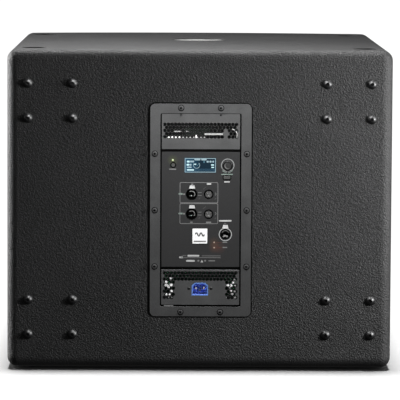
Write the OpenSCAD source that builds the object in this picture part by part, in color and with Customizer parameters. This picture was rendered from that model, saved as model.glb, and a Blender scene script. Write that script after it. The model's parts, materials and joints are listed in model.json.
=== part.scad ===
// Powered 18 inch subwoofer cabinet: a bow-fronted plywood box with a woofer and four
// corner ports behind a steel grille, and an amplifier module in the rear panel.
// +X is to the right seen from behind, +Y points to the front, +Z is up, the feet stand on Z = 0.

/* [Cabinet] */
// Outside width of the box
cab_w = 690; // [660:1:760]
// Outside depth of the box at the middle of its bowed front
cab_d = 740; // [720:1:800]
// Height of the box without its feet
cab_h = 571.5; // [560:0.5:620]
// Plywood thickness, which is also the radius of the rounded outside edges
ply_t = 18; // [15:1:20]
// Plan radius of the bowed front
bow_r = 1500; // [1200:50:3000]
// Plan radius of the corners where the bow meets the sides
nose_r = 40; // [30:2:50]
// Distance from the crown of the bow back to the front of the baffle
baffle_set = 66; // [60:1:80]

/* [Feet and stacking] */
// Height of the rubber feet
foot_h = 5; // [4:0.5:8]
// Diameter of the rubber feet
foot_d = 40; // [30:1:42]
// Diameter of the shallow recesses on top that take the feet of another box
cup_d = 44; // [42:1:50]
// Depth of those recesses
cup_depth = 3; // [2:0.5:5]
// Sideways distance of the feet from the middle
foot_x = 299; // [280:1:305]
// Distance of the rear feet from the rear face
foot_rear = 76; // [60:1:120]
// Distance of the front feet from the rear face
foot_front = 622; // [580:1:630]

/* [Pole mount] */
// Distance of the pole thread from the rear face
pole_back = 428; // [380:1:460]
// Diameter of the zinc pole plate
pole_plate_d = 100; // [90:1:110]
// Minor radius of the M20 pole thread
pole_thread_r = 8.65; // [8.6:0.05:8.75]
// Length of the threaded wall
pole_thread_l = 38.5; // [30:0.5:45]

/* [Caster bolts] */
// Sideways distance of a caster pattern's centre from the middle
caster_x = 267.6; // [240:0.1:275]
// Height of a caster pattern's centre above or below the middle
caster_z = 194.5; // [150:0.5:205]
// Sideways spacing of the bolts of one caster
caster_dx = 80; // [60:0.5:90]
// Upright spacing of the bolts of one caster
caster_dz = 62.5; // [50:0.5:70]

/* [Handles] */
// Middle of the side handles, ahead of the middle of the box
handle_y = 10; // [-20:1:20]
// Middle of the side handles, above the middle of the box
handle_z = 20; // [-40:1:60]
// Depth of the handle cups
cup_in = 62; // [50:1:70]

/* [Amplifier module] */
// Width of the amplifier's front flange
amp_w = 181; // [175:1:190]
// Height of the amplifier's front flange
amp_h = 382; // [378:1:390]
// Width of the opening inside the flange
win_w = 145; // [143:1:146]
// Height of the opening inside the flange
win_h = 348; // [346:1:350]
// Sideways offset of the module from the middle of the box
amp_x = 2; // [-10:0.5:10]
// Depth of the module behind the rear face
amp_depth = 112; // [100:1:130]
// How far the encoder knob stands out behind the rear face
knob_proud = 12; // [10:0.5:16]
// Diameter of the vent holes
vent_d = 5.2; // [3:0.1:5.2]
// Spacing of the vent holes along a row
vent_pitch = 6.4; // [6:0.1:7]

/* [Woofer] */
// Outside diameter of the woofer frame
woofer_d = 460; // [455:1:464]
// Diameter of the cone at its outer edge
cone_d = 372; // [360:1:374]
// Diameter of the voice coil former, inside
coil_d = 99; // [96:1:100]

/* [Hidden] */
$fn = 48;

// Box planes. The bounding box runs from the knob to the crown of the bow.
rear_y = -(cab_d + knob_proud) / 2 + knob_proud;
front_y = rear_y + cab_d;
base_z = foot_h;
top_z = foot_h + cab_h;
mid_z = foot_h + cab_h / 2;
in_w = cab_w - 2 * ply_t;
in_z = base_z + ply_t;
in_h = cab_h - 2 * ply_t;
baffle_y = front_y - baffle_set;
bow_cy = front_y - bow_r;
nose_x = cab_w / 2 - nose_r;
bow_half = asin(nose_x / (bow_r - nose_r));
nose_y = bow_cy + (bow_r - nose_r) * cos(bow_half);
FINE = 360;
BIG = 2000;
GAP = 0.1;

// Hardware sizes
bolt_r = 5;
bolt_head_r = 8.75;
bolt_head_h = 5.5;
hex6_r = 3.46;
t_nut_r = 6;
t_nut_l = 11;
screw_r = 1.9;
screw_head_r = 3.8;
screw_cone = 2.2;
screw_l = 16;
m6_r = 3;
pan_r = 4.5;
pan_h = 2.6;

// Side handles: flange and cup as height, length and corner radius
handle_flange = [120, 200, 20];
handle_cup = [96, 176, 22];
handle_wall = 2;
handle_gap = 0.2;
handle_rebate = 2;
handle_screws = [54, 62];

// Places of repeated parts
foot_ys = [rear_y + foot_rear, rear_y + foot_front];
pole_y = rear_y + pole_back;
pole_drop = 1.5;
pole_flange_t = 4;
pole_boss_r = 17;
pole_screw_r = 38;
port_x = 262;
port_z = 203;
port_r_in = 48;
port_r_out = 51;
port_l = 200;
flare_r = 10;
brace_y = -120;
woofer_bolt_pcr = 223;
woofer_bolts_n = 8;
woofer_hole_r = 214;
grille_gap = 1;
grille_t = 1.5;
foam_t = 5;
foam_in = grille_gap + grille_t + GAP;
grille_x = in_w / 2 - 0.5;
block_side = 24;
block_spots = [[300, 60], [300, -60], [-300, 60], [-300, -60],
               [120, 250], [-120, 250], [120, -250], [-120, -250]];

// Amplifier places, from the middle of the module, x to the right and y up seen from behind
amp_z = mid_z - 0.75;
flange_t = 3;
gasket_t = 1;
plate_t = 2;
plate_top = -1;
plate_back = plate_top - plate_t;
plate_slack = 0.8;
ledge_t = 3;
row_gap = vent_pitch * sqrt(3) / 2;
top_split = 107;
low_split = -104.5;
split_gap = 3.6;
screw_x = 82.3;
screw_side_ys = [101.4, 0, -101.4];
screw_end_x = 35.6;
screw_end_y = 183.4;
led_at = [-50.2, 89.8];
power_at = [-49.4, 81];
lcd_at = [-0.9, 80.6];
lcd_size = [56, 26];
knob_at = [48.1, 80.9];
knob_r = 8.75;
ring_r = 12;
back_at = [46.9, 59];
back_size = [11.6, 5.6];
combo_at = [[-16.2, 28.3], [-16.2, -7.3]];
combo_r = 10.3;
latch_up = 13.3;
latch_aside = 0.8;
xlr_at = [[14.4, 28.4], [14.4, -7.4]];
xlr_r = 8.6;
xlr_pin_r = 1.2;
net_at = [44.5, -43.4];
net_r = 12;
net_led_at = [[24.6, -58.1], [24.6, -67.5]];
inlet_at = [-0.6, -142.5];
inlet_size = [29, 23];
inlet_pins = [[0, -2.5], [-7, 1.5], [7, 1.5]];
inlet_screw_x = 20;
chassis_t = 1.5;
fan_side = 60;
fan_t = 25;
fan_low = 84;
fan_z = -amp_depth + chassis_t + fan_side / 2;
fan_shaft_r = 1.5;
board_z = -36;
board_t = 1.6;
board_w = 132;
shaft_r = 3;
running = 0.05;
chassis_front = -12;

// Cable route from the amplifier's back to the woofer, as two straights and an S bend
cable_r = 4;
cable_x0 = 60;
cable_bend = 32.5;
cable_turn_y = -200;
terminal_r = 112;

// ---------- helpers ----------

module rounded_rect(w, h, r) {
    square([w - 2 * r, h], center = true);
    square([w, h - 2 * r], center = true);
    for (sx = [-1, 1], sy = [-1, 1])
        translate([sx * (w / 2 - r), sy * (h / 2 - r)]) circle(r = r);
}

// Plan outline of the box, moved inwards by inset at the front and sides; past squares off the
// rear corners that far behind the rear face, for cutting other shapes to the bow
module plan(inset = 0, past = 0) {
    r = ply_t;
    reach = nose_r + 5;
    intersection() {
        translate([0, bow_cy]) circle(r = bow_r - inset, $fn = FINE);
        union() {
            translate([-cab_w / 2 + inset, rear_y + r])
                square([cab_w - 2 * inset, nose_y - rear_y - r]);
            translate([-cab_w / 2 + r, rear_y]) square([cab_w - 2 * r, r + 1]);
            if (past > 0)
                translate([-cab_w / 2 + inset, rear_y - past])
                    square([cab_w - 2 * inset, past + r + 1]);
            polygon([
                [-nose_x, nose_y - 1], [nose_x, nose_y - 1], [nose_x, nose_y],
                [nose_x + reach * sin(bow_half), nose_y + reach * cos(bow_half)],
                [0, front_y + nose_r],
                [-nose_x - reach * sin(bow_half), nose_y + reach * cos(bow_half)],
                [-nose_x, nose_y]
            ]);
            for (s = [-1, 1]) {
                translate([s * nose_x, nose_y]) circle(r = nose_r - inset, $fn = FINE);
                translate([s * (cab_w / 2 - r), rear_y + r]) circle(r = r);
            }
        }
    }
}

// Top panel blank with its upper rear and side edges rounded, lower face on Z = 0
module rounded_slab() {
    r = ply_t;
    intersection() {
        union() {
            translate([-(cab_w / 2 - r), rear_y + r, 0]) cube([cab_w - 2 * r, cab_d, r]);
            for (s = [-1, 1]) translate([s * (cab_w / 2 - r), rear_y + r, 0]) {
                rotate([-90, 0, 0]) cylinder(r = r, h = cab_d);
                sphere(r = r);
            }
            translate([-(cab_w / 2 - r), rear_y + r, 0]) rotate([0, 90, 0])
                cylinder(r = r, h = cab_w - 2 * r);
        }
        linear_extrude(r) plan(0, 5);
    }
}

// Countersunk wood screw, head face on Z = 0, point towards -Z; grow widens it into its hole
module wood_screw(grow = 0) {
    translate([0, 0, -screw_cone])
        cylinder(r1 = screw_r + grow, r2 = screw_head_r + grow, h = screw_cone + grow / 4);
    translate([0, 0, -screw_l - grow]) cylinder(r = screw_r + grow, h = screw_l, $fn = 24);
}

// Screw with a round head and a hexagon socket, seat on Z = 0, shank towards -Z
module pan_screw(head_r, head_h, shank_r, shank_l, key_r) {
    difference() {
        union() {
            cylinder(r = head_r, h = head_h * 0.6);
            translate([0, 0, head_h * 0.6])
                cylinder(r1 = head_r, r2 = head_r * 0.7, h = head_h * 0.4);
            translate([0, 0, -shank_l]) cylinder(r = shank_r, h = shank_l + 0.01, $fn = 24);
        }
        translate([0, 0, head_h * 0.4]) cylinder(r = key_r, h = head_h, $fn = 6);
    }
}

// Places children with +Z pointing out of the rear face at the middle of the amplifier
module amp_at() {
    translate([amp_x, rear_y, amp_z]) rotate([90, 0, 0]) children();
}

// Places children with +Z along the woofer's axis to the front, Z = 0 on the baffle
module woofer_at() {
    translate([0, baffle_y, mid_z]) rotate([-90, 0, 0]) children();
}

// Places children on the bow at x, height z from the middle, +Y pointing out
module bow_at(x, z) {
    translate([0, bow_cy, mid_z + z]) rotate([0, 0, -asin(x / bow_r)])
        translate([0, bow_r, 0]) children();
}

module caster_spots() {
    for (sx = [-1, 1], sz = [-1, 1], bx = [-1, 1], bz = [-1, 1])
        translate([sx * caster_x + bx * caster_dx / 2, rear_y,
                   mid_z + sz * caster_z + bz * caster_dz / 2])
            rotate([90, 0, 0]) children();
}

module foot_spots() {
    for (sx = [-1, 1], y = foot_ys) translate([sx * foot_x, y, 0]) children();
}

module amp_screw_spots() {
    for (s = [-1, 1]) {
        for (y = screw_side_ys) translate([s * screw_x, y, 0]) children();
        for (e = [-1, 1]) translate([s * screw_end_x, e * screw_end_y, 0]) children();
    }
}

module port_spots() {
    for (sx = [-1, 1], sz = [-1, 1]) translate([sx * port_x, sz * port_z, 0]) children();
}

// Handle frame: +Z out of the side, +X down, +Y to the front
module handle_at(side) {
    mirror([side < 0 ? 1 : 0, 0, 0])
        translate([cab_w / 2, handle_y, mid_z + handle_z]) rotate([0, 90, 0]) children();
}

module handle_screw_spots() {
    for (s = [-1, 1], row = [-1, 0, 1])
        translate([s * handle_screws[0], row * handle_screws[1], 0]) children();
}

// ---------- plywood box ----------

module top_panel() {
    color([0.13, 0.13, 0.13]) difference() {
        translate([0, 0, top_z - ply_t]) rounded_slab();
        translate([0, 0, top_z - cup_depth]) foot_spots() cylinder(d = cup_d, h = ply_t);
        translate([0, pole_y, top_z - pole_drop - pole_flange_t])
            cylinder(d = pole_plate_d + 0.6, h = ply_t);
        translate([0, pole_y, base_z]) cylinder(r = pole_boss_r + GAP, h = cab_h);
        translate([0, pole_y, top_z - pole_drop])
            for (a = [45:90:315]) rotate([0, 0, a]) translate([pole_screw_r, 0, 0])
                wood_screw(GAP);
    }
}

module bottom_panel() {
    color([0.13, 0.13, 0.13]) difference() {
        translate([0, 0, base_z + ply_t]) mirror([0, 0, 1]) rounded_slab();
        foot_spots() translate([0, 0, 2]) mirror([0, 0, 1]) wood_screw(GAP);
    }
}

module side_panel(side) {
    difference() {
        translate([0, 0, in_z]) linear_extrude(in_h) intersection() {
            plan();
            translate([side > 0 ? in_w / 2 : -cab_w / 2, rear_y]) square([ply_t, cab_d]);
        }
        handle_at(side) {
            translate([0, 0, -handle_rebate]) linear_extrude(10)
                rounded_rect(handle_flange[0] + 2 * handle_gap, handle_flange[1] + 2 * handle_gap,
                             handle_flange[2] + handle_gap);
            translate([0, 0, -ply_t - 10]) linear_extrude(ply_t + 20)
                rounded_rect(handle_cup[0] + 3 * handle_gap, handle_cup[1] + 3 * handle_gap,
                             handle_cup[2] + 1.5 * handle_gap);
            handle_screw_spots() wood_screw(GAP);
        }
    }
}

module left_side_panel() { color([0.13, 0.13, 0.13]) side_panel(-1); }
module right_side_panel() { color([0.13, 0.13, 0.13]) side_panel(1); }

module rear_panel() {
    color([0.13, 0.13, 0.13]) difference() {
        translate([-in_w / 2, rear_y, in_z]) cube([in_w, ply_t, in_h]);
        amp_at() {
            translate([0, 0, -ply_t - 5]) linear_extrude(ply_t + 10)
                rounded_rect(win_w + 6, win_h + 6, 4);
            amp_screw_spots() translate([0, 0, -ply_t - 1]) cylinder(r = 2 + GAP, h = 30);
        }
        caster_spots() {
            translate([0, 0, -ply_t - 1]) cylinder(r = bolt_r + GAP, h = ply_t + 2);
            translate([0, 0, -ply_t - 1]) cylinder(r = t_nut_r + GAP, h = t_nut_l + 1);
        }
    }
}

module front_baffle() {
    color([0.35, 0.28, 0.2]) difference() {
        translate([-in_w / 2, baffle_y - ply_t, in_z]) cube([in_w, ply_t, in_h]);
        woofer_at() {
            translate([0, 0, -ply_t - 1]) cylinder(r = woofer_hole_r, h = ply_t + 2, $fn = 120);
            for (i = [0:woofer_bolts_n - 1]) rotate([0, 0, (i + 0.5) * 360 / woofer_bolts_n])
                translate([woofer_bolt_pcr, 0, -ply_t - 1]) cylinder(r = m6_r + GAP, h = ply_t + 2);
            port_spots() translate([0, 0, -ply_t - 1]) cylinder(r = port_r_out + GAP, h = ply_t + 2);
        }
    }
}

module window_brace() {
    bar = 60;
    rim_w = 60;
    color([0.72, 0.58, 0.4]) difference() {
        translate([-in_w / 2, brace_y, in_z]) cube([in_w, ply_t, in_h]);
        for (s = [-1, 1]) translate([s * (bar / 2 + (in_w / 2 - rim_w)) / 2, brace_y - 1, mid_z])
            rotate([-90, 0, 0]) linear_extrude(ply_t + 2)
                rounded_rect(in_w / 2 - rim_w - bar / 2, in_h - 2 * rim_w, 30);
    }
}

module port_tubes() {
    flare_in = port_r_in + flare_r;
    color([0.08, 0.08, 0.08]) woofer_at() port_spots() rotate_extrude() difference() {
        union() {
            translate([port_r_in, -port_l]) square([port_r_out - port_r_in, port_l]);
            translate([port_r_in, 0]) square([flare_in - port_r_in + 2, 3]);
        }
        translate([port_r_in, -flare_r + 3]) difference() {
            translate([-1, 0]) square([flare_r + 1, flare_r + 1]);
            translate([flare_r, 0]) circle(r = flare_r);
        }
    }
}

// ---------- grille ----------

module grille_band(z, h, out, inn, half_w) {
    translate([0, 0, z]) linear_extrude(h) intersection() {
        difference() {
            plan(out);
            plan(inn);
        }
        translate([-half_w, baffle_y + 1]) square([2 * half_w, BIG]);
    }
}

module grille() {
    z0 = in_z + 0.5;
    h = in_h - 1;
    lip = 18;
    color([0.1, 0.1, 0.1]) difference() {
        union() {
            grille_band(z0, h, grille_gap, grille_gap + grille_t, grille_x);
            grille_band(z0, grille_t, grille_gap, grille_gap + lip, grille_x);
            grille_band(z0 + h - grille_t, grille_t, grille_gap, grille_gap + lip, grille_x);
            for (s = [-1, 1]) translate([0, 0, z0]) linear_extrude(h) intersection() {
                plan(grille_gap);
                translate([s > 0 ? grille_x - grille_t : -grille_x, baffle_y + 1])
                    square([grille_t, BIG]);
            }
        }
        for (p = block_spots) bow_at(p[0], p[1]) translate([0, -20, 0]) rotate([-90, 0, 0])
            cylinder(r = 2.5 + GAP, h = 30);
    }
}

module grille_foam() {
    color([0.05, 0.05, 0.05]) difference() {
        grille_band(in_z + 2.4, in_h - 4.8, foam_in, foam_in + foam_t, grille_x - grille_t - 0.3);
        for (p = block_spots) bow_at(p[0], p[1]) translate([0, -20, 0]) rotate([-90, 0, 0])
            cylinder(r = 2.5 + GAP, h = 30);
    }
}

module grille_blocks() {
    behind = foam_in + foam_t + GAP;
    block_l = 80;
    color([0.72, 0.58, 0.4]) difference() {
        intersection() {
            for (p = block_spots) bow_at(p[0], p[1])
                translate([-block_side / 2, -block_l - behind, -block_side / 2])
                    cube([block_side, block_l, block_side]);
            translate([-BIG, baffle_y, 0]) cube([2 * BIG, BIG, BIG]);
        }
        for (p = block_spots) bow_at(p[0], p[1]) translate([0, -26, 0]) rotate([-90, 0, 0])
            cylinder(r = 2.5 + GAP, h = 40);
    }
}

module grille_screws() {
    color([0.08, 0.08, 0.08]) for (p = block_spots)
        bow_at(p[0], p[1]) translate([0, -grille_gap, 0]) rotate([-90, 0, 0])
            pan_screw(4.5, 1.8, 2.5, 24, 1.5);
}

// ---------- feet, pole plate, caster hardware ----------

module rubber_feet() {
    color([0.05, 0.05, 0.05]) foot_spots() difference() {
        union() {
            translate([0, 0, 1]) cylinder(d = foot_d, h = foot_h - 1);
            cylinder(d1 = foot_d - 2, d2 = foot_d, h = 1);
        }
        translate([0, 0, -1]) cylinder(r = 6, h = 3);
        translate([0, 0, 2]) mirror([0, 0, 1]) wood_screw(GAP);
    }
}

module pole_plate() {
    color([0.78, 0.78, 0.76]) translate([0, pole_y, top_z - pole_drop]) difference() {
        union() {
            translate([0, 0, -pole_flange_t]) cylinder(d = pole_plate_d, h = pole_flange_t, $fn = 96);
            translate([0, 0, -pole_thread_l]) cylinder(r = pole_boss_r, h = pole_thread_l);
        }
        translate([0, 0, -pole_thread_l - 1]) cylinder(r = pole_thread_r, h = pole_thread_l + 2);
        for (a = [45:90:315]) rotate([0, 0, a]) translate([pole_screw_r, 0, 0]) wood_screw(GAP);
    }
}

// One size of screw holds the feet, the pole plate and the handles
module wood_screws() {
    color([0.2, 0.2, 0.2]) {
        foot_spots() translate([0, 0, 2]) mirror([0, 0, 1]) wood_screw();
        translate([0, pole_y, top_z - pole_drop])
            for (a = [45:90:315]) rotate([0, 0, a]) translate([pole_screw_r, 0, 0]) wood_screw();
        for (side = [-1, 1]) handle_at(side) handle_screw_spots() wood_screw();
    }
}

module caster_bolts() {
    dome = (bolt_head_r * bolt_head_r + bolt_head_h * bolt_head_h) / (2 * bolt_head_h);
    color([0.04, 0.04, 0.04]) caster_spots() difference() {
        union() {
            intersection() {
                translate([0, 0, bolt_head_h - dome]) sphere(r = dome);
                cylinder(r = bolt_head_r + 1, h = bolt_head_h + 1);
            }
            translate([0, 0, -ply_t + 1]) cylinder(r = bolt_r, h = ply_t - 0.99);
        }
        translate([0, 0, bolt_head_h - 3.2]) cylinder(r = hex6_r, h = 4, $fn = 6);
    }
}

module caster_t_nuts() {
    color([0.6, 0.6, 0.6]) caster_spots() difference() {
        union() {
            translate([0, 0, -ply_t - 1.6]) cylinder(r = 12, h = 1.6);
            translate([0, 0, -ply_t - 0.01]) cylinder(r = t_nut_r, h = t_nut_l);
        }
        translate([0, 0, -ply_t - 3]) cylinder(r = bolt_r + GAP, h = ply_t + 6);
    }
}

// ---------- handles ----------

grip_x = -18;
grip_z = -14;
grip_core_r = 10;
grip_r = 13;
grip_half = 56;

module handle_body() {
    core_l = handle_cup[1] - handle_wall;
    difference() {
        union() {
            difference() {
                union() {
                    translate([0, 0, -handle_rebate]) linear_extrude(handle_rebate)
                        rounded_rect(handle_flange[0], handle_flange[1], handle_flange[2]);
                    translate([0, 0, -cup_in]) linear_extrude(cup_in - 1)
                        rounded_rect(handle_cup[0], handle_cup[1], handle_cup[2]);
                }
                translate([0, 0, -cup_in + handle_wall]) linear_extrude(cup_in)
                    rounded_rect(handle_cup[0] - 2 * handle_wall, handle_cup[1] - 2 * handle_wall,
                                 handle_cup[2] - handle_wall);
            }
            translate([grip_x, -core_l / 2, grip_z]) rotate([-90, 0, 0])
                cylinder(r = grip_core_r, h = core_l);
        }
        handle_screw_spots() wood_screw(GAP);
    }
}

module left_handle() { color([0.07, 0.07, 0.07]) handle_at(-1) handle_body(); }
module right_handle() { color([0.07, 0.07, 0.07]) handle_at(1) handle_body(); }

module handle_grips() {
    color([0.03, 0.03, 0.03]) for (side = [-1, 1]) handle_at(side)
        translate([grip_x, -grip_half, grip_z]) rotate([-90, 0, 0]) difference() {
            cylinder(r = grip_r, h = 2 * grip_half);
            translate([0, 0, -1]) cylinder(r = grip_core_r + running, h = 2 * grip_half + 2);
        }
}

// ---------- woofer, along its axis: z = 0 on the baffle, +z to the front ----------

frame_r = woofer_d / 2;
cone_r = cone_d / 2;
coil_r = coil_d / 2;
former_t = 1.5;
lip_z = 6;
motor_z = -112;
motor_r = 105;
cone_z0 = -60;
spider_z = -77;

module woofer_bolt_spots() {
    for (i = [0:woofer_bolts_n - 1]) rotate([0, 0, (i + 0.5) * 360 / woofer_bolts_n])
        translate([woofer_bolt_pcr, 0, 0]) children();
}

module woofer_gasket() {
    color([0.1, 0.1, 0.1]) woofer_at() difference() {
        cylinder(r = frame_r, h = 3, $fn = 120);
        translate([0, 0, -1]) cylinder(r = woofer_hole_r, h = 5, $fn = 120);
        woofer_bolt_spots() translate([0, 0, -1]) cylinder(r = m6_r + GAP, h = 5);
    }
}

module woofer_basket() {
    wall_top = 208;
    wall_out = woofer_hole_r - 1;
    flange_in = woofer_hole_r + 2;
    flange_h = 14;
    foot = 60;
    color([0.12, 0.12, 0.12]) woofer_at() difference() {
        union() {
            rotate_extrude($fn = 120) polygon([
                [wall_top, lip_z], [flange_in, lip_z], [flange_in, flange_h], [frame_r, flange_h],
                [frame_r, 3], [wall_out, 3], [wall_out, -22], [terminal_r, -92], [terminal_r, motor_z],
                [foot, motor_z], [foot, motor_z + 5], [107, motor_z + 5], [107, -89],
                [wall_top, -19]
            ]);
            rotate_extrude($fn = 120) polygon([[106, spider_z - 5], [122, spider_z - 5],
                                              [128, spider_z], [106, spider_z]]);
        }
        for (i = [0:7]) rotate([0, 0, i * 45]) translate([0, 0, -86]) linear_extrude(80)
            polygon([[134, -26], [198, -48], [198, 48], [134, 26]]);
        woofer_bolt_spots() translate([0, 0, -1]) cylinder(r = m6_r + GAP, h = 20);
    }
}

module woofer_surround() {
    roll = 13;
    t = 1.5;
    mid = cone_r + 12;
    color([0.03, 0.03, 0.03]) woofer_at() rotate_extrude($fn = 120) {
        translate([cone_r - 6, lip_z]) square([6, t]);
        translate([mid + roll - t, lip_z]) square([woofer_hole_r + 1.7 - mid - roll + t, t]);
        intersection() {
            translate([mid, lip_z]) difference() {
                circle(r = roll);
                circle(r = roll - t);
            }
            translate([0, lip_z]) square([frame_r, 20]);
        }
    }
}

module woofer_cone() {
    color([0.06, 0.06, 0.06]) woofer_at() rotate_extrude($fn = 120)
        polygon([[cone_r, lip_z], [cone_r, lip_z - 1.8], [coil_r + former_t, cone_z0 - 3],
                 [coil_r + former_t, cone_z0]]);
}

module dust_cap() {
    cap_r = 90;
    base = 75;
    drop = sqrt(cap_r * cap_r - base * base);
    slope = (lip_z - cone_z0) / (cone_r - coil_r - former_t);
    seat = cone_z0 + (base - coil_r - former_t) * slope;
    color([0.05, 0.05, 0.05]) woofer_at() difference() {
        translate([0, 0, seat - drop]) difference() {
            sphere(r = cap_r, $fn = 120);
            sphere(r = cap_r - 1.5, $fn = 120);
            translate([0, 0, -BIG + drop - 2]) cylinder(r = BIG, h = BIG, $fn = 24);
        }
        rotate_extrude($fn = 120) polygon([[0, cone_z0 - 40], [cone_r, lip_z - 40], [cone_r, lip_z],
                                          [coil_r + former_t, cone_z0], [0, cone_z0]]);
    }
}

module voice_coil() {
    color([0.72, 0.45, 0.2]) woofer_at() rotate_extrude() {
        translate([coil_r, -130]) square([former_t, 130 + cone_z0]);
        translate([coil_r + former_t, -128]) square([1.5, 18]);
    }
}

module spider() {
    r0 = coil_r + former_t;
    r1 = r0 + 4;
    r2 = 104;
    waves = 5;
    steps = 30;
    thick = 0.9;
    low = [for (i = [0:steps])
        [r1 + (r2 - r1) * i / steps, spider_z + 1.6 * sin(360 * waves * i / steps)]];
    high = [for (i = [steps:-1:0]) [low[i][0], low[i][1] + thick]];
    color([0.75, 0.6, 0.3]) woofer_at() rotate_extrude() polygon(concat(
        [[r0, spider_z]], low, [[terminal_r, spider_z], [terminal_r, spider_z + thick]],
        high, [[r0, spider_z + thick]]));
}

module motor_top_plate() {
    color([0.3, 0.3, 0.3]) woofer_at() translate([0, 0, motor_z - 12]) difference() {
        cylinder(r = motor_r, h = 12);
        translate([0, 0, -1]) cylinder(r = 54.5, h = 14);
    }
}

module motor_magnet() {
    color([0.15, 0.15, 0.15]) woofer_at() translate([0, 0, motor_z - 42]) difference() {
        cylinder(r = 95, h = 30);
        translate([0, 0, -1]) cylinder(r = 62, h = 32);
    }
}

module motor_back_plate() {
    color([0.3, 0.3, 0.3]) woofer_at() translate([0, 0, motor_z - 56]) difference() {
        union() {
            cylinder(r = motor_r, h = 14);
            cylinder(r = coil_r - 2, h = 56);
        }
        translate([0, 0, -1]) cylinder(r = 12, h = 60);
    }
}

module woofer_bolts() {
    color([0.2, 0.2, 0.2]) woofer_at() woofer_bolt_spots() translate([0, 0, 14])
        pan_screw(5, 6, m6_r, 34, 2.9);
}

// Cable with the plug that sits against the woofer frame
module speaker_cable() {
    x1 = cable_x0 + 2 * cable_bend;
    y1 = rear_y + amp_depth;
    y2 = baffle_y + motor_z + 8;
    color([0.15, 0.15, 0.15]) {
        translate([cable_x0, y1 - 6, mid_z]) rotate([-90, 0, 0])
            cylinder(r = cable_r, h = cable_turn_y - y1 + 6);
        translate([cable_x0 + cable_bend, cable_turn_y, mid_z]) rotate([0, 0, 90])
            rotate_extrude(angle = 90) translate([cable_bend, 0]) circle(r = cable_r);
        translate([cable_x0 + cable_bend, cable_turn_y + 2 * cable_bend, mid_z]) rotate([0, 0, 270])
            rotate_extrude(angle = 90) translate([cable_bend, 0]) circle(r = cable_r);
        translate([x1, cable_turn_y + 2 * cable_bend, mid_z]) rotate([-90, 0, 0])
            cylinder(r = cable_r, h = y2 - cable_turn_y - 2 * cable_bend);
        woofer_at() difference() {
            translate([100, -20, motor_z + 2]) cube([32, 40, 14]);
            translate([0, 0, motor_z]) cylinder(r = terminal_r + 0.05, h = 20, $fn = 120);
        }
    }
}

// ---------- amplifier module ----------

module amp_frame() {
    color([0.4, 0.4, 0.4]) amp_at() difference() {
        union() {
            translate([0, 0, gasket_t]) linear_extrude(flange_t) difference() {
                rounded_rect(amp_w, amp_h, 9);
                rounded_rect(win_w, win_h, 3);
            }
            translate([0, 0, chassis_front]) linear_extrude(gasket_t - chassis_front + 0.01)
                difference() {
                    rounded_rect(win_w + 4, win_h + 4, 4);
                    rounded_rect(win_w, win_h, 3);
                }
            translate([0, 0, plate_back - ledge_t]) linear_extrude(ledge_t) {
                difference() {
                    square([win_w + 2, win_h + 2], center = true);
                    square([win_w - 6, win_h - 6], center = true);
                }
                for (y = [top_split, low_split]) translate([0, y]) square([win_w, 8], center = true);
            }
        }
        amp_screw_spots() translate([0, 0, -1]) cylinder(r = 2 + GAP, h = 10);
    }
}

module amp_gasket() {
    color([0.05, 0.05, 0.05]) amp_at() linear_extrude(gasket_t) difference() {
        rounded_rect(amp_w - 1, amp_h - 1, 8.5);
        rounded_rect(win_w + 6, win_h + 6, 4);
        amp_screw_spots() circle(r = 2 + GAP);
    }
}

module amp_screws() {
    color([0.25, 0.25, 0.25]) amp_at() translate([0, 0, gasket_t + flange_t])
        amp_screw_spots() pan_screw(pan_r, pan_h, 2, 20, 1.75);
}

// Row of vent holes at height y; odd rows are staggered by half a pitch, and none is drilled from x0 to x1
module vent_row(y, odd, x0 = 0, x1 = 0) {
    n = 20 - odd;
    for (i = [0:n]) {
        x = (i - n / 2) * vent_pitch;
        if (x < x0 || x > x1 || x0 == x1) translate([x, y]) circle(d = vent_d, $fn = 24);
    }
}

module plate(y0, y1) {
    translate([0, 0, plate_back]) linear_extrude(plate_t) difference() {
        translate([-win_w / 2 + plate_slack, y0]) square([win_w - 2 * plate_slack, y1 - y0]);
        children();
    }
}

top_rows = 5;
top_row_y = 153.9;
low_row_y = -113.2;
vent_aside = -0.5;
blank_x = [40, 50];

module top_vent_plate() {
    color([0.38, 0.38, 0.38]) amp_at()
        plate(top_split + split_gap / 2, win_h / 2 - plate_slack)
            translate([vent_aside, 0]) for (j = [0:top_rows - 1])
                vent_row(top_row_y - j * row_gap, j % 2, blank_x[0], j < 2 ? blank_x[0] : blank_x[1]);
}

module inlet_plate() {
    side_rows = 6;
    color([0.25, 0.25, 0.25]) amp_at()
        plate(-win_h / 2 + plate_slack, low_split - split_gap / 2) {
            translate([vent_aside, 0]) {
                for (j = [0:2]) vent_row(low_row_y - j * row_gap, j % 2);
                for (j = [3:2 + side_rows], s = [-1, 1], i = [0:2])
                    translate([s * (10 - i - (j % 2) / 2) * vent_pitch, low_row_y - j * row_gap])
                        circle(d = vent_d, $fn = 24);
            }
            translate(inlet_at) {
                inlet_outline(0.3);
                for (s = [-1, 1]) translate([s * inlet_screw_x, 1.3]) circle(r = 1.5 + GAP);
            }
        }
}

// Trapezoid press tab of a latching connector, widest at the bottom
module tab(w, h, grow = 0) {
    polygon([[-w / 2 - grow, -h / 2 - grow], [w / 2 + grow, -h / 2 - grow],
             [w * 0.38 + grow, h / 2 + grow], [-w * 0.38 - grow, h / 2 + grow]]);
}

tab_w = 10.8;
tab_h = 5.4;
net_tab_h = 6.4;
net_tab_up = 13.8;

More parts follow.
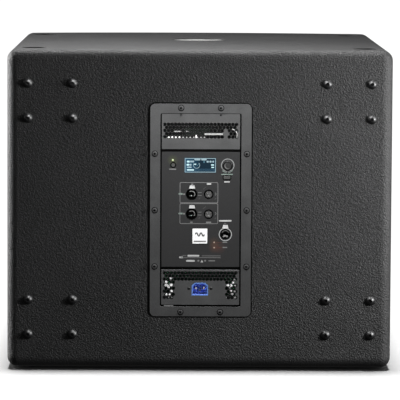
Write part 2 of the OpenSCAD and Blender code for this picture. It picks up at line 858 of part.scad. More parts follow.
module control_plate() {
    color([0.2, 0.2, 0.2]) amp_at() plate(low_split + split_gap / 2, top_split - split_gap / 2) {
        translate(led_at) circle(r = 1.8 + GAP);
        translate(power_at) circle(r = 3.4);
        translate(lcd_at) square([lcd_size[0] + 0.4, lcd_size[1] + 0.4], center = true);
        translate(knob_at) circle(r = 3.6);
        translate(back_at) square([back_size[0] + 0.6, back_size[1] + 0.6], center = true);
        for (p = combo_at) translate(p) {
            circle(r = combo_r + GAP);
            translate([latch_aside, latch_up]) tab(tab_w, tab_h, 0.3);
        }
        for (p = xlr_at) translate(p) circle(r = xlr_r + GAP);
        translate(net_at) {
            circle(r = 10.5 + GAP);
            translate([0, net_tab_up]) tab(tab_w, net_tab_h, 0.3);
        }
        for (p = net_led_at) translate(p) circle(r = 1.3 + GAP);
    }
}

module amp_chassis() {
    w = win_w + 2 * chassis_t;
    h = win_h + 2 * chassis_t;
    color([0.7, 0.7, 0.7]) amp_at() difference() {
        translate([0, 0, -amp_depth]) linear_extrude(amp_depth + chassis_front)
            square([w, h], center = true);
        translate([0, 0, -amp_depth + chassis_t]) linear_extrude(amp_depth)
            square([w - 2 * chassis_t, h - 2 * chassis_t], center = true);
        translate([cable_x0 - amp_x, mid_z - amp_z, -amp_depth - 1])
            cylinder(r = cable_r + GAP, h = 4);
    }
}

module heatsink() {
    fins = 13;
    w = 128;
    color([0.75, 0.75, 0.75]) amp_at() translate([-w / 2, 112, -78]) {
        cube([w, 56, 6]);
        for (i = [0:fins - 1]) translate([i * (w - 2.5) / (fins - 1), 0, 0]) cube([2.5, 56, 60]);
    }
}

module amp_board() {
    z = -106;
    color([0.1, 0.35, 0.15]) amp_at() {
        translate([-board_w / 2, -166, z]) cube([board_w, 244, board_t]);
        for (i = [0:3]) translate([-45 + 30 * i, -60, z]) cylinder(r = 13, h = 48);
        translate([30, 40, z]) cylinder(r = 30, h = 36);
        translate([-50, 20, z]) cube([34, 40, 40]);
        translate([-60, -150, z]) cube([24, 60, 30]);
    }
}

module control_board() {
    encoder_side = 14;
    encoder_top = -10;
    color([0.1, 0.35, 0.15]) amp_at() difference() {
        union() {
            translate([-board_w / 2, -98, board_z]) cube([board_w, 198, board_t]);
            translate([knob_at[0] - encoder_side / 2, knob_at[1] - encoder_side / 2, board_z])
                cube([encoder_side, encoder_side, encoder_top - board_z]);
        }
        translate([knob_at[0], knob_at[1], board_z + 4]) cylinder(r = shaft_r + running, h = 40);
    }
}

// Fan frame: +Z up along the fan's axis, Z = 0 on its lower face
module fan_spot() {
    translate([0, fan_low, fan_z]) rotate([-90, 0, 0]) children();
}

module fan_frame() {
    bore = 28.5;
    color([0.08, 0.08, 0.08]) amp_at() fan_spot() {
        difference() {
            linear_extrude(fan_t) rounded_rect(fan_side, fan_side, 4);
            translate([0, 0, -1]) cylinder(r = bore, h = fan_t + 2);
        }
        for (a = [0:90:270]) rotate([0, 0, a]) translate([0, -2, 0]) cube([bore + 0.2, 4, 3]);
        cylinder(r = 11, h = 3);
        cylinder(r = fan_shaft_r, h = fan_t - 5);
    }
}

module fan_rotor() {
    blades = 7;
    tip = 27.3;
    color([0.1, 0.1, 0.1]) amp_at() fan_spot() translate([0, 0, 4]) difference() {
        union() {
            cylinder(r = 12, h = 17);
            intersection() {
                for (i = [0:blades - 1]) rotate([0, 0, i * 360 / blades]) translate([10, 0, 8.5])
                    rotate([38, 0, 0]) translate([0, -0.9, -13]) cube([20, 1.8, 26]);
                cylinder(r = tip, h = 17);
            }
        }
        translate([0, 0, -1]) cylinder(r = fan_shaft_r + running, h = 17.5);
    }
}

// Outline of the mains inlet's shroud, with its two upper corners cut
module inlet_outline(grow) {
    w = inlet_size[0] / 2 + grow;
    h = inlet_size[1] / 2 + grow;
    cut = 5;
    polygon([[-w, -h], [w, -h], [w, h - cut], [w - cut, h], [-w + cut, h], [-w, h - cut]]);
}

module ac_inlet() {
    deep = 17;
    color([0.12, 0.2, 0.55]) amp_at() translate([inlet_at[0], inlet_at[1], 0]) difference() {
        union() {
            translate([0, 0, plate_back - 3]) linear_extrude(3) rounded_rect(50, 24, 4);
            translate([0, 0, -24]) linear_extrude(24 + plate_top + 0.6) inlet_outline(0);
        }
        translate([0, 0, plate_top + 0.6 - deep]) linear_extrude(deep + 1) inlet_outline(-1.8);
        for (s = [-1, 1]) translate([s * inlet_screw_x, 1.3, -10]) cylinder(r = 1.5 + GAP, h = 20);
        for (p = inlet_pins) translate([p[0] - 1, p[1] - 2, -25]) cube([2, 4, 26]);
    }
}

module inlet_screws() {
    color([0.3, 0.3, 0.3]) amp_at() for (s = [-1, 1])
        translate([inlet_at[0] + s * inlet_screw_x, inlet_at[1] + 1.3, plate_top])
            pan_screw(2.8, 1.6, 1.5, 8, 1.1);
}

module combo_jacks() {
    deep = 12;
    color([0.03, 0.03, 0.03]) amp_at() for (p = combo_at) translate([p[0], p[1], 0]) difference() {
        translate([0, 0, -34]) cylinder(r = combo_r, h = 34 + plate_top + 0.4);
        translate([0, 0, plate_top + 0.4 - deep]) difference() {
            cylinder(r = 8.9, h = deep + 1);
            translate([0, 0, -1]) cylinder(r = 6.6, h = deep + 3);
        }
        translate([0, 0, -22]) cylinder(r = 3.2, h = 30);
        for (a = [90, 210, 330]) rotate([0, 0, a]) translate([4.9, 0, -16])
            cylinder(r = 1.2, h = 30);
    }
}

module latch(at, w, h, up) {
    translate([at[0], at[1] + up, -6]) linear_extrude(6 + plate_top + 2) tab(w, h);
}

module combo_latch_a() {
    color([0.9, 0.9, 0.9]) amp_at() translate([latch_aside, 0, 0]) latch(combo_at[0], tab_w, tab_h, latch_up);
}

module combo_latch_b() {
    color([0.9, 0.9, 0.9]) amp_at() translate([latch_aside, 0, 0]) latch(combo_at[1], tab_w, tab_h, latch_up);
}

xlr_deep = 15;

module xlr_outputs() {
    color([0.04, 0.04, 0.04]) amp_at() for (p = xlr_at) translate([p[0], p[1], 0]) difference() {
        translate([0, 0, -30]) cylinder(r = xlr_r, h = 30 + plate_top + 0.4);
        translate([0, 0, plate_top + 0.4 - xlr_deep]) cylinder(r = 7.2, h = xlr_deep + 1);
        xlr_pin_spots() translate([0, 0, -28]) cylinder(r = xlr_pin_r, h = 40);
    }
}

module xlr_pin_spots() {
    for (a = [30, 150, 270]) rotate([0, 0, a]) translate([4.4, 0, 0]) children();
}

// Contacts of the mains inlet and of the two male outputs
module connector_pins() {
    color([0.8, 0.75, 0.6]) amp_at() {
        for (p = xlr_at) translate([p[0], p[1], 0]) xlr_pin_spots() translate([0, 0, -28])
            cylinder(r = xlr_pin_r, h = 26);
        for (p = inlet_pins) translate([inlet_at[0] + p[0] - 1, inlet_at[1] + p[1] - 2, -25])
            cube([2, 4, 21]);
    }
}

module network_port() {
    recess = 12;
    color([0.5, 0.5, 0.5]) amp_at() translate([net_at[0], net_at[1], 0]) difference() {
        union() {
            translate([0, 0, plate_top]) cylinder(r = net_r, h = 2.4);
            translate([0, 0, -32]) cylinder(r = 10.5, h = 32 + plate_top + 0.1);
        }
        translate([0, 0, plate_top + 2.4 - recess]) cylinder(r = 9.6, h = recess + 1);
        translate([-6, -4.4, -30]) cube([12, 8.8, 30]);
        translate([0, net_tab_up, -10]) linear_extrude(20) tab(tab_w, net_tab_h, 0.3);
    }
}

module network_latch() {
    color([0.85, 0.85, 0.85]) amp_at() latch(net_at, tab_w, net_tab_h, net_tab_up);
}

module encoder_ring() {
    color([0.75, 0.75, 0.75]) amp_at() translate([knob_at[0], knob_at[1], plate_top]) difference() {
        cylinder(r = ring_r, h = 1.2);
        translate([0, 0, -1]) cylinder(r = knob_r + 0.8, h = 4);
    }
}

module encoder_shaft() {
    color([0.7, 0.7, 0.7]) amp_at() translate([knob_at[0], knob_at[1], -30])
        cylinder(r = shaft_r, h = 30 + knob_proud - 3);
}

module encoder_knob() {
    base = plate_top + 1.4;
    color([0.15, 0.15, 0.15]) amp_at() translate([knob_at[0], knob_at[1], base]) difference() {
        union() {
            cylinder(r = knob_r, h = knob_proud - base - 1.2);
            translate([0, 0, knob_proud - base - 1.2])
                cylinder(r1 = knob_r, r2 = knob_r - 1.2, h = 1.2);
        }
        translate([0, 0, -1]) cylinder(r = shaft_r + running, h = knob_proud - base - 1.5);
        for (i = [0:11]) rotate([0, 0, i * 30]) translate([knob_r + 0.5, 0, -1])
            cylinder(r = 1, h = 20, $fn = 16);
    }
}

module back_button() {
    color([0.45, 0.45, 0.45]) amp_at() translate([back_at[0], back_at[1], -8]) {
        linear_extrude(8 + plate_top + 1.4) rounded_rect(back_size[0], back_size[1], 1);
    }
}

module power_button() {
    color([0.35, 0.35, 0.35]) amp_at() translate([power_at[0], power_at[1], -8])
        cylinder(r = 3.1, h = 8 + plate_top + 1.2);
}

module display_module() {
    color([0.1, 0.2, 0.35]) amp_at() translate([lcd_at[0], lcd_at[1], 0]) {
        translate([-34, -20, -12]) cube([68, 40, 12 + plate_back - 0.05]);
        translate([-lcd_size[0] / 2, -lcd_size[1] / 2, plate_back - 1])
            cube([lcd_size[0], lcd_size[1], plate_t + 0.7]);
    }
}

module indicator_leds() {
    color([0.6, 0.95, 0.4]) amp_at() {
        translate([led_at[0], led_at[1], -4]) {
            cylinder(r = 1.8, h = 4 + plate_top);
            translate([0, 0, 4 + plate_top - 0.3]) sphere(r = 1.7);
        }
        for (p = net_led_at) translate([p[0], p[1], -4]) cylinder(r = 1.3, h = 4 + plate_top + 0.3);
    }
}

// ---------- drawing ----------

top_panel();
bottom_panel();
left_side_panel();
right_side_panel();
rear_panel();
front_baffle();
window_brace();
port_tubes();
grille();
grille_foam();
grille_blocks();
grille_screws();
rubber_feet();
pole_plate();
wood_screws();
caster_bolts();
caster_t_nuts();
left_handle();
right_handle();
handle_grips();
woofer_gasket();
woofer_basket();
woofer_surround();
woofer_cone();
dust_cap();
voice_coil();
spider();
motor_top_plate();
motor_magnet();
motor_back_plate();
woofer_bolts();
speaker_cable();
amp_frame();
amp_gasket();
amp_screws();
top_vent_plate();
control_plate();
inlet_plate();
amp_chassis();
heatsink();
amp_board();
control_board();
fan_frame();
fan_rotor();
ac_inlet();
inlet_screws();
connector_pins();
combo_jacks();
combo_latch_a();
combo_latch_b();
xlr_outputs();
network_port();
network_latch();
encoder_ring();
encoder_shaft();
encoder_knob();
back_button();
power_button();
display_module();
indicator_leds();
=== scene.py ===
"""Looks for the powered subwoofer: materials for every CAD piece, the perforated grille, the printing and
display on the amplifier panel, what shows through the vents as partly painted glints, painted shade round the
panel's parts, a white studio and the camera."""

import json
import math

import bmesh
import bpy
from mathutils import Matrix, Vector


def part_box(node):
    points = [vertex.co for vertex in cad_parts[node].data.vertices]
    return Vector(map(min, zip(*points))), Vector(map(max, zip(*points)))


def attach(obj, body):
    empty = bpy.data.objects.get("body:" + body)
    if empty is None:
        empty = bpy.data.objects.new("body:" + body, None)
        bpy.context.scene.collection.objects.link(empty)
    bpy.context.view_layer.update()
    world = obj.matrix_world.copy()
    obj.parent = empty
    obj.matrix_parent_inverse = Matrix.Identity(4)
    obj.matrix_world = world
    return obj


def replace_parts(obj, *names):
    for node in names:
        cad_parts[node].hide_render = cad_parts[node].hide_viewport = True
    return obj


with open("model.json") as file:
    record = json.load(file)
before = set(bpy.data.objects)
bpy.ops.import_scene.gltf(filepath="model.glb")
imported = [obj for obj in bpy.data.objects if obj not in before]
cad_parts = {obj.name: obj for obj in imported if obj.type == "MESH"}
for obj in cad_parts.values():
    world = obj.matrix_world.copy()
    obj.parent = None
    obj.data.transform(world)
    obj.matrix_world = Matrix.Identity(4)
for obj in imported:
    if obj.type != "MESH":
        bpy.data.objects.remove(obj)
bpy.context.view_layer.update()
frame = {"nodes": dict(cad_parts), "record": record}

MM = 0.001
NODE_SLOT = {s["node"]: s["material_slot"] for s in frame["record"]["subparts"]}


# ---------------------------------------------------------------- places

PANEL_LOW, PANEL_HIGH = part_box("amp_frame")
REAR_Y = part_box("rear_panel")[0].y
AMP_X = (PANEL_LOW.x + PANEL_HIGH.x) / 2
AMP_Z = (PANEL_LOW.z + PANEL_HIGH.z) / 2
PLATE_FRONT = (REAR_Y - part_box("control_plate")[0].y) / MM


def on_panel(x, y, z=0.0):
    """A point given in mm from the middle of the amplifier panel: x right, y up, z out of the rear face."""
    return Vector((AMP_X + x * MM, REAR_Y - z * MM, AMP_Z + y * MM))


def middle(node):
    """Middle of a CAD node's box on the panel, in panel millimetres."""
    low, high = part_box(node)
    return ((low.x + high.x) / 2 - AMP_X) / MM, ((low.z + high.z) / 2 - AMP_Z) / MM


def middles(node, reach):
    """Middles of a node's separate parts, in panel mm; each part is less than reach across."""
    item = frame["nodes"][node]
    groups = []
    for vertex in item.data.vertices:
        point = item.matrix_world @ vertex.co
        x, y = (point.x - AMP_X) / MM, (point.z - AMP_Z) / MM
        home = next((g for g in groups if math.hypot(x - g[0][0], y - g[0][1]) < reach), None)
        if home is None:
            groups.append([(x, y)])
        else:
            home.append((x, y))
    return [tuple((min(c) + max(c)) / 2 for c in zip(*group)) for group in groups]


DISPLAY_X, DISPLAY_Y = middle("display_module")
COMBOS = middles("combo_jacks", 24)
PORT_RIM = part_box("network_port")
PORT_X = middle("network_port")[0]
PORT_Y = (PORT_RIM[0].z - AMP_Z) / MM + 12
LAMPS = sorted(middles("indicator_leds", 6), key=lambda at: at[1])


# ---------------------------------------------------------------- material helpers

class Look:
    """A material with a Principled shader, and short ways to add texture nodes in object coordinates."""

    def __init__(self, name, **sockets):
        self.material = bpy.data.materials.new(name)
        self.material.use_nodes = True
        self.tree = self.material.node_tree
        self.tree.nodes.clear()
        self.shader = self.add("ShaderNodeBsdfPrincipled")
        output = self.add("ShaderNodeOutputMaterial")
        self.tree.links.new(self.shader.outputs[0], output.inputs[0])
        self.place = self.add("ShaderNodeTexCoord").outputs["Object"]
        for socket, value in sockets.items():
            self.shader.inputs[socket.replace("_", " ")].default_value = value

    def add(self, kind, **settings):
        node = self.tree.nodes.new(kind)
        for key, value in settings.items():
            setattr(node, key, value)
        return node

    def put(self, value, socket):
        """Links value to a socket if it is a socket, or sets it there if it is a number or colour."""
        if isinstance(value, bpy.types.NodeSocket):
            self.tree.links.new(value, socket)
        elif hasattr(value, "__len__") and len(value) == 3 and len(socket.default_value) == 4:
            socket.default_value = (*value, 1)
        else:
            socket.default_value = value

    def noise(self, size, detail=2.0, roughness=0.5, place=None):
        """Noise with features about size metres across."""
        node = self.add("ShaderNodeTexNoise")
        node.inputs["Scale"].default_value = 1 / size
        node.inputs["Detail"].default_value = detail
        node.inputs["Roughness"].default_value = roughness
        self.put(place or self.place, node.inputs["Vector"])
        return node.outputs["Fac"]

    def cells(self, size, feature="F1", place=None, jitter=1.0):
        """Distance to the nearest of scattered points about size metres apart."""
        node = self.add("ShaderNodeTexVoronoi", feature=feature)
        node.inputs["Scale"].default_value = 1 / size
        node.inputs["Randomness"].default_value = jitter
        self.put(place or self.place, node.inputs["Vector"])
        return node.outputs["Distance"]

    def stretched(self, x, y, z):
        """Object coordinates squeezed along each axis, for brushed or grained textures."""
        node = self.add("ShaderNodeMapping")
        node.inputs["Scale"].default_value = (x, y, z)
        self.put(self.place, node.inputs["Vector"])
        return node.outputs["Vector"]

    def ramp(self, value, *stops):
        """Colour ramp with stops of (position, grey or colour)."""
        node = self.add("ShaderNodeValToRGB")
        steps = node.color_ramp.elements
        while len(steps) < len(stops):
            steps.new(0.5)
        for step, (at, colour) in zip(steps, stops):
            step.position = at
            step.color = (*colour, 1) if hasattr(colour, "__len__") else (colour, colour, colour, 1)
        self.put(value, node.inputs[0])
        return node.outputs[0]

    def math(self, operation, a, b=0.0):
        node = self.add("ShaderNodeMath", operation=operation)
        self.put(a, node.inputs[0])
        self.put(b, node.inputs[1])
        return node.outputs[0]

    def mix(self, share, a, b):
        """Colour a, or b where share is 1."""
        node = self.add("ShaderNodeMix", data_type="RGBA")
        self.put(share, node.inputs["Factor"])
        self.put(a, node.inputs[6])
        self.put(b, node.inputs[7])
        return node.outputs[2]

    def plus(self, a, b):
        """Sum of two colours."""
        node = self.add("ShaderNodeMix", data_type="RGBA", blend_type="ADD")
        self.put(1.0, node.inputs["Factor"])
        self.put(a, node.inputs[6])
        self.put(b, node.inputs[7])
        return node.outputs[2]

    def glow(self, colour, strength):
        """Light given off by the surface."""
        self.put(colour, self.shader.inputs["Emission Color"])
        self.put(strength, self.shader.inputs["Emission Strength"])

    def axis(self, name):
        """One coordinate of the point, in metres."""
        node = self.add("ShaderNodeSeparateXYZ")
        self.put(self.place, node.inputs[0])
        return node.outputs[name]

    def step(self, value, low, high):
        """0 where value is below low, 1 above high."""
        node = self.add("ShaderNodeMapRange", clamp=True)
        node.inputs["From Min"].default_value = low
        node.inputs["From Max"].default_value = high
        self.put(value, node.inputs["Value"])
        return node.outputs[0]

    def radius(self, x, z):
        """Distance from a line along Y through (x, z), in metres."""
        dx = self.math("SUBTRACT", self.axis("X"), x)
        dz = self.math("SUBTRACT", self.axis("Z"), z)
        square = self.math("ADD", self.math("MULTIPLY", dx, dx), self.math("MULTIPLY", dz, dz))
        return self.math("SQRT", square)

    def colour(self, value):
        self.put(value, self.shader.inputs["Base Color"])

    def rough(self, value):
        self.put(value, self.shader.inputs["Roughness"])

    def bump(self, height, depth, strength=1.0):
        """Bump from a 0 to 1 height, depth metres deep."""
        node = self.add("ShaderNodeBump")
        node.inputs["Distance"].default_value = depth
        node.inputs["Strength"].default_value = strength
        self.put(height, node.inputs["Height"])
        self.put(node.outputs[0], self.shader.inputs["Normal"])


def mottled(name, dark, light, grain, depth, rough=(0.4, 0.6), **sockets):
    """Plain moulded or painted surface: colour and gloss vary a little, over a fine grain."""
    look = Look(name, **sockets)
    patches = look.noise(grain * 9, detail=3)
    look.colour(look.ramp(patches, (0.3, dark), (0.7, light)))
    fine = look.noise(grain, detail=2)
    look.rough(look.ramp(fine, (0.25, rough[0]), (0.75, rough[1])))
    look.bump(fine, depth)
    return look.material


# ---------------------------------------------------------------- materials

def coating():
    """Sprayed textured paint: a skin of small hard beads, black, with a soft sheen."""
    look = Look("black_textured_coating", Specular_IOR_Level=0.3)
    beads = look.cells(0.0026, "SMOOTH_F1")
    fine = look.noise(0.0014, detail=3, roughness=0.65)
    height = look.math("ADD", look.math("MULTIPLY", beads, 0.5), look.math("MULTIPLY", fine, 0.7))
    patches = look.noise(0.09, detail=3)
    tone = look.math("ADD", look.math("MULTIPLY", patches, 0.35), look.math("MULTIPLY", fine, 0.65))
    look.colour(look.ramp(tone, (0.35, (0.005, 0.005, 0.0052)), (0.7, (0.019, 0.019, 0.0192))))
    look.rough(look.ramp(fine, (0.3, 0.44), (0.7, 0.56)))
    look.bump(height, 0.0017, 1.0)
    return look.material


def plywood():
    look = Look("birch_plywood", Specular_IOR_Level=0.3)
    grain = look.noise(0.004, detail=5, roughness=0.6, place=look.stretched(0.08, 1, 1))
    figure = look.noise(0.05, detail=2, place=look.stretched(0.2, 1, 1))
    tone = look.math("ADD", look.math("MULTIPLY", grain, 0.6), look.math("MULTIPLY", figure, 0.4))
    look.colour(look.ramp(tone, (0.35, (0.42, 0.27, 0.14)), (0.65, (0.62, 0.45, 0.27))))
    look.rough(0.7)
    look.bump(grain, 0.0003)
    return look.material


def zinc():
    look = Look("zinc_plate", Metallic=1.0)
    spangle = look.noise(0.006, detail=3)
    brushed = look.noise(0.0006, detail=2, place=look.stretched(0.05, 1, 1))
    look.colour(look.ramp(spangle, (0.3, (0.6, 0.6, 0.59)), (0.7, (0.82, 0.82, 0.8))))
    look.rough(look.ramp(brushed, (0.3, 0.22), (0.7, 0.4)))
    look.bump(brushed, 0.00005)
    return look.material


def black_steel():
    """Glossy black fasteners, dulled a little in patches."""
    look = Look("black_oxide_steel", Specular_IOR_Level=0.45)
    wear = look.noise(0.0025, detail=4, roughness=0.7)
    look.colour(look.ramp(wear, (0.45, (0.0012, 0.0012, 0.0014)), (0.75, (0.004, 0.004, 0.0045))))
    look.rough(look.ramp(wear, (0.3, 0.34), (0.7, 0.5)))
    look.bump(wear, 0.00003)
    return look.material


def panel_paint(name, dark, light):
    """Satin dark grey paint of the amplifier panel; anything set back behind its plates is painted black, as
    painted shade in recesses such as the walls of the vent holes.
    """
    look = Look(name, Specular_IOR_Level=0.25)
    fine = look.noise(0.0011, detail=3, roughness=0.6)
    patches = look.noise(0.03, detail=3)
    tone = look.math("ADD", look.math("MULTIPLY", patches, 0.4), look.math("MULTIPLY", fine, 0.6))
    paint = look.ramp(tone, (0.35, dark), (0.68, light))
    # painted shade: everything more than about 2 mm behind the rear face is coloured black
    behind = look.step(look.axis("Y"), REAR_Y + 1.6 * MM, REAR_Y + 2.2 * MM)
    look.colour(look.mix(behind, paint, (0.003, 0.003, 0.003)))
    look.rough(look.ramp(fine, (0.3, 0.46), (0.7, 0.6)))
    look.bump(fine, 0.00014)
    return look.material


def screw_paint():
    """Panel-grey screw heads, with painted shade: black below the rim and in the socket."""
    look = Look("screw_paint", Specular_IOR_Level=0.08)
    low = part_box("amp_screws")[0]
    fine = look.noise(0.0006, detail=3)
    # painted shade: the heads are coloured black from 1.3 mm below their top, under the rim and down the socket
    deep = look.step(look.axis("Y"), low.y + 1.25 * MM, low.y + 1.35 * MM)
    paint = look.ramp(fine, (0.35, (0.036, 0.0364, 0.0368)), (0.68, (0.052, 0.0524, 0.0528)))
    look.colour(look.mix(deep, paint, (0.003, 0.003, 0.003)))
    look.rough(look.ramp(fine, (0.3, 0.6), (0.7, 0.75)))
    look.bump(fine, 0.00004)
    return look.material


def control_paint():
    """Darker satin paint, with painted light: glows of the display and the lamps close to them are painted on
    it as emission.
    """
    look = Look("control_plate_paint", Specular_IOR_Level=0.25)
    fine = look.noise(0.0009, detail=3, roughness=0.6)
    look.colour(look.ramp(fine, (0.3, (0.018, 0.018, 0.0184)), (0.7, (0.028, 0.0282, 0.0288))))
    look.rough(look.ramp(fine, (0.3, 0.46), (0.7, 0.6)))
    look.bump(fine, 0.00012)
    # painted light: pools of coloured glow round the lamps, a lamp's caption and the display
    glow = dark = (0.0, 0.0, 0.0)
    legend = (LAMPS[0][0] + 10, LAMPS[0][1])
    glows = ((LAMPS[-1], 11, (0.030, 0.038, 0.006)), (LAMPS[0], 11, (0.036, 0.011, 0.004)),
             (LAMPS[1], 11, (0.032, 0.013, 0.003)), (legend, 12, (0.028, 0.008, 0.004)),
             ((DISPLAY_X, DISPLAY_Y), 36, (0.001, 0.005, 0.009)))
    for (x, y), reach, colour in glows:
        near = look.step(look.radius(AMP_X + x * MM, AMP_Z + y * MM), reach * MM, 1.0 * MM)
        glow = look.plus(glow, look.mix(near, dark, colour))
    look.glow(glow, 1.0)
    return look.material


def circuit_board():
    look = Look("circuit_board", Specular_IOR_Level=0.5)
    tracks = look.cells(0.004, place=look.stretched(1, 1, 0.4), jitter=0.7)
    look.colour(look.ramp(tracks, (0.32, (0.02, 0.11, 0.05)), (0.4, (0.05, 0.24, 0.1))))
    look.rough(0.35)
    look.bump(tracks, 0.0001)
    return look.material


def display_glass():
    """Lit liquid crystal display: teal at its left, almost black in the middle, with a fine grid of dots."""
    look = Look("display_glass", Specular_IOR_Level=0.08)
    low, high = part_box("display_module")
    across = look.step(look.axis("X"), low.x, high.x)
    climb = look.step(look.axis("Z"), low.z, high.z)
    dots = look.cells(0.0006, jitter=0.0)
    sides = look.ramp(across, (0.04, (0.035, 0.16, 0.27)), (0.3, (0.014, 0.085, 0.16)),
                      (0.5, (0.002, 0.01, 0.022)), (0.82, (0.003, 0.016, 0.03)), (0.98, (0.03, 0.11, 0.18)))
    ends = look.ramp(climb, (0.06, (0.05, 0.13, 0.2)), (0.24, 0.0), (0.8, 0.0), (0.97, (0.06, 0.15, 0.22)))
    grid = look.ramp(dots, (0.3, 0.0), (0.5, 0.4))
    look.glow(look.mix(grid, look.plus(sides, ends), (0.004, 0.02, 0.035)), 0.95)
    look.colour(look.ramp(dots, (0.3, (0.004, 0.006, 0.008)), (0.5, (0.006, 0.009, 0.012))))
    look.rough(0.25)
    return look.material


def port_finish():
    """Light grey rim outside, black socket inside it."""
    look = Look("network_port_finish")
    away = look.radius(AMP_X + PORT_X * MM, AMP_Z + PORT_Y * MM)
    outside = look.ramp(look.step(away, 9.0 * MM, 13.0 * MM),
                        (0.32, 0.0), (0.36, 1.0), (0.64, 1.0), (0.7, 0.12))
    fine = look.noise(0.0006, detail=3)
    rim = look.ramp(fine, (0.3, (0.3, 0.305, 0.305)), (0.7, (0.42, 0.425, 0.425)))
    look.colour(look.mix(outside, (0.004, 0.004, 0.005), rim))
    look.rough(look.ramp(fine, (0.3, 0.3), (0.7, 0.45)))
    look.bump(fine, 0.00006)
    return look.material


def inlet_finish():
    """Blue moulding, paler on its front rim; its cavity is painted brighter blue the deeper it goes, painted
    light against the shade inside it.
    """
    look = Look("inlet_blue_plastic", Specular_IOR_Level=0.5)
    depth = look.step(look.axis("Y"), REAR_Y + 0.7 * MM, REAR_Y + 8 * MM)
    fine = look.noise(0.0008, detail=3)
    # painted light: the colour grows paler and brighter from 1.4 mm to 8 mm deep
    look.colour(look.ramp(depth, (0.0, (0.11, 0.21, 0.52)), (0.2, (0.1, 0.17, 0.55)), (1.0, (0.2, 0.3, 0.8))))
    look.rough(look.ramp(fine, (0.3, 0.28), (0.7, 0.4)))
    look.bump(fine, 0.00005)
    return look.material


def knob_finish():
    """Black knob; the flat of its cap carries a painted highlight, greyer towards one side."""
    look = Look("knob_plastic", Specular_IOR_Level=0.5)
    x, y = middle("encoder_knob")
    fine = look.noise(0.0006, detail=2)
    away = look.radius(AMP_X + x * MM, AMP_Z + y * MM)
    # painted highlight: grey on the cap, strongest on the side away from a point off its centre
    painted_highlight_reach = look.radius(AMP_X + (x + 1.6) * MM, AMP_Z + (y + 1.0) * MM)
    cap = look.step(away, 6.2 * MM, 5.8 * MM)
    lit = look.ramp(look.step(painted_highlight_reach, 2.0 * MM, 7.6 * MM), (0.0, 0.03), (0.5, 0.02), (0.95, 0.13))
    look.colour(look.mix(cap, (0.003, 0.003, 0.003), lit))
    look.rough(look.ramp(fine, (0.3, 0.28), (0.7, 0.42)))
    look.bump(fine, 0.0001)
    return look.material


def ring_finish():
    """Light grey ring round the encoder, black inside its bright edge."""
    look = Look("grey_ring")
    x, y = middle("encoder_ring")
    away = look.radius(AMP_X + x * MM, AMP_Z + y * MM)
    fine = look.noise(0.0006, detail=3)
    pale = look.ramp(fine, (0.3, (0.15, 0.155, 0.155)), (0.7, (0.24, 0.245, 0.245)))
    look.colour(look.mix(look.step(away, 10.3 * MM, 10.5 * MM), (0.004, 0.004, 0.004), pale))
    look.rough(look.ramp(fine, (0.3, 0.3), (0.7, 0.45)))
    look.bump(fine, 0.00006)
    return look.material


def lens_finish():
    """Lamp lenses: the lamp beside the power button is green, the two lower ones warm white."""
    look = Look("led_lens")
    fine = look.noise(0.0008, detail=2)
    upper = look.step(look.axis("Z"), AMP_Z + 20 * MM, AMP_Z + 30 * MM)
    green = look.ramp(fine, (0.3, (0.72, 0.9, 0.42)), (0.7, (0.9, 1.0, 0.62)))
    warm = look.ramp(fine, (0.3, (0.42, 0.3, 0.24)), (0.7, (0.55, 0.42, 0.35)))
    look.colour(look.ramp(fine, (0.3, 0.02), (0.7, 0.04)))
    look.glow(look.mix(upper, warm, green), 0.8)
    look.rough(0.3)
    return look.material


def glowing(name, colour, strength, grain=0.0008):
    """Lit mark: dark by itself, it shows its colour by its own light."""
    look = Look(name)
    fine = look.noise(grain, detail=2)
    base, base_light, thin, full = (tuple(min(1.0, share * c) for c in colour)
                                    for share in (0.05, 0.08, 0.85, 1.1))
    look.colour(look.ramp(fine, (0.3, base), (0.7, base_light)))
    look.glow(look.ramp(fine, (0.3, thin), (0.7, full)), strength)
    look.rough(0.3)
    return look.material


def ink(name, grey, tint=(1, 1, 1)):
    """Screen printing: slightly uneven cover and a matt finish."""
    look = Look(name, Specular_IOR_Level=0.3)
    fine = look.noise(0.0005, detail=3, roughness=0.7)
    thin = tuple(0.75 * grey * t for t in tint)
    full = tuple(grey * t for t in tint)
    look.colour(look.ramp(fine, (0.35, thin), (0.6, full)))
    look.rough(0.6)
    look.bump(fine, 0.00003)
    return look.material


def perforated_coat():
    return mottled("grille_powder_coat", (0.012, 0.012, 0.0125), (0.022, 0.022, 0.023), 0.0008, 0.00012,
                   rough=(0.4, 0.55))


def foam():
    look = Look("acoustic_foam", Specular_IOR_Level=0.1)
    pores = look.cells(0.0016)
    look.colour(look.ramp(pores, (0.2, (0.004, 0.004, 0.004)), (0.7, (0.02, 0.02, 0.021))))
    look.rough(0.95)
    look.bump(pores, 0.0012)
    return look.material


def rubber():
    return mottled("black_rubber", (0.010, 0.010, 0.010), (0.02, 0.02, 0.02), 0.0012, 0.0002,
                   rough=(0.6, 0.8))


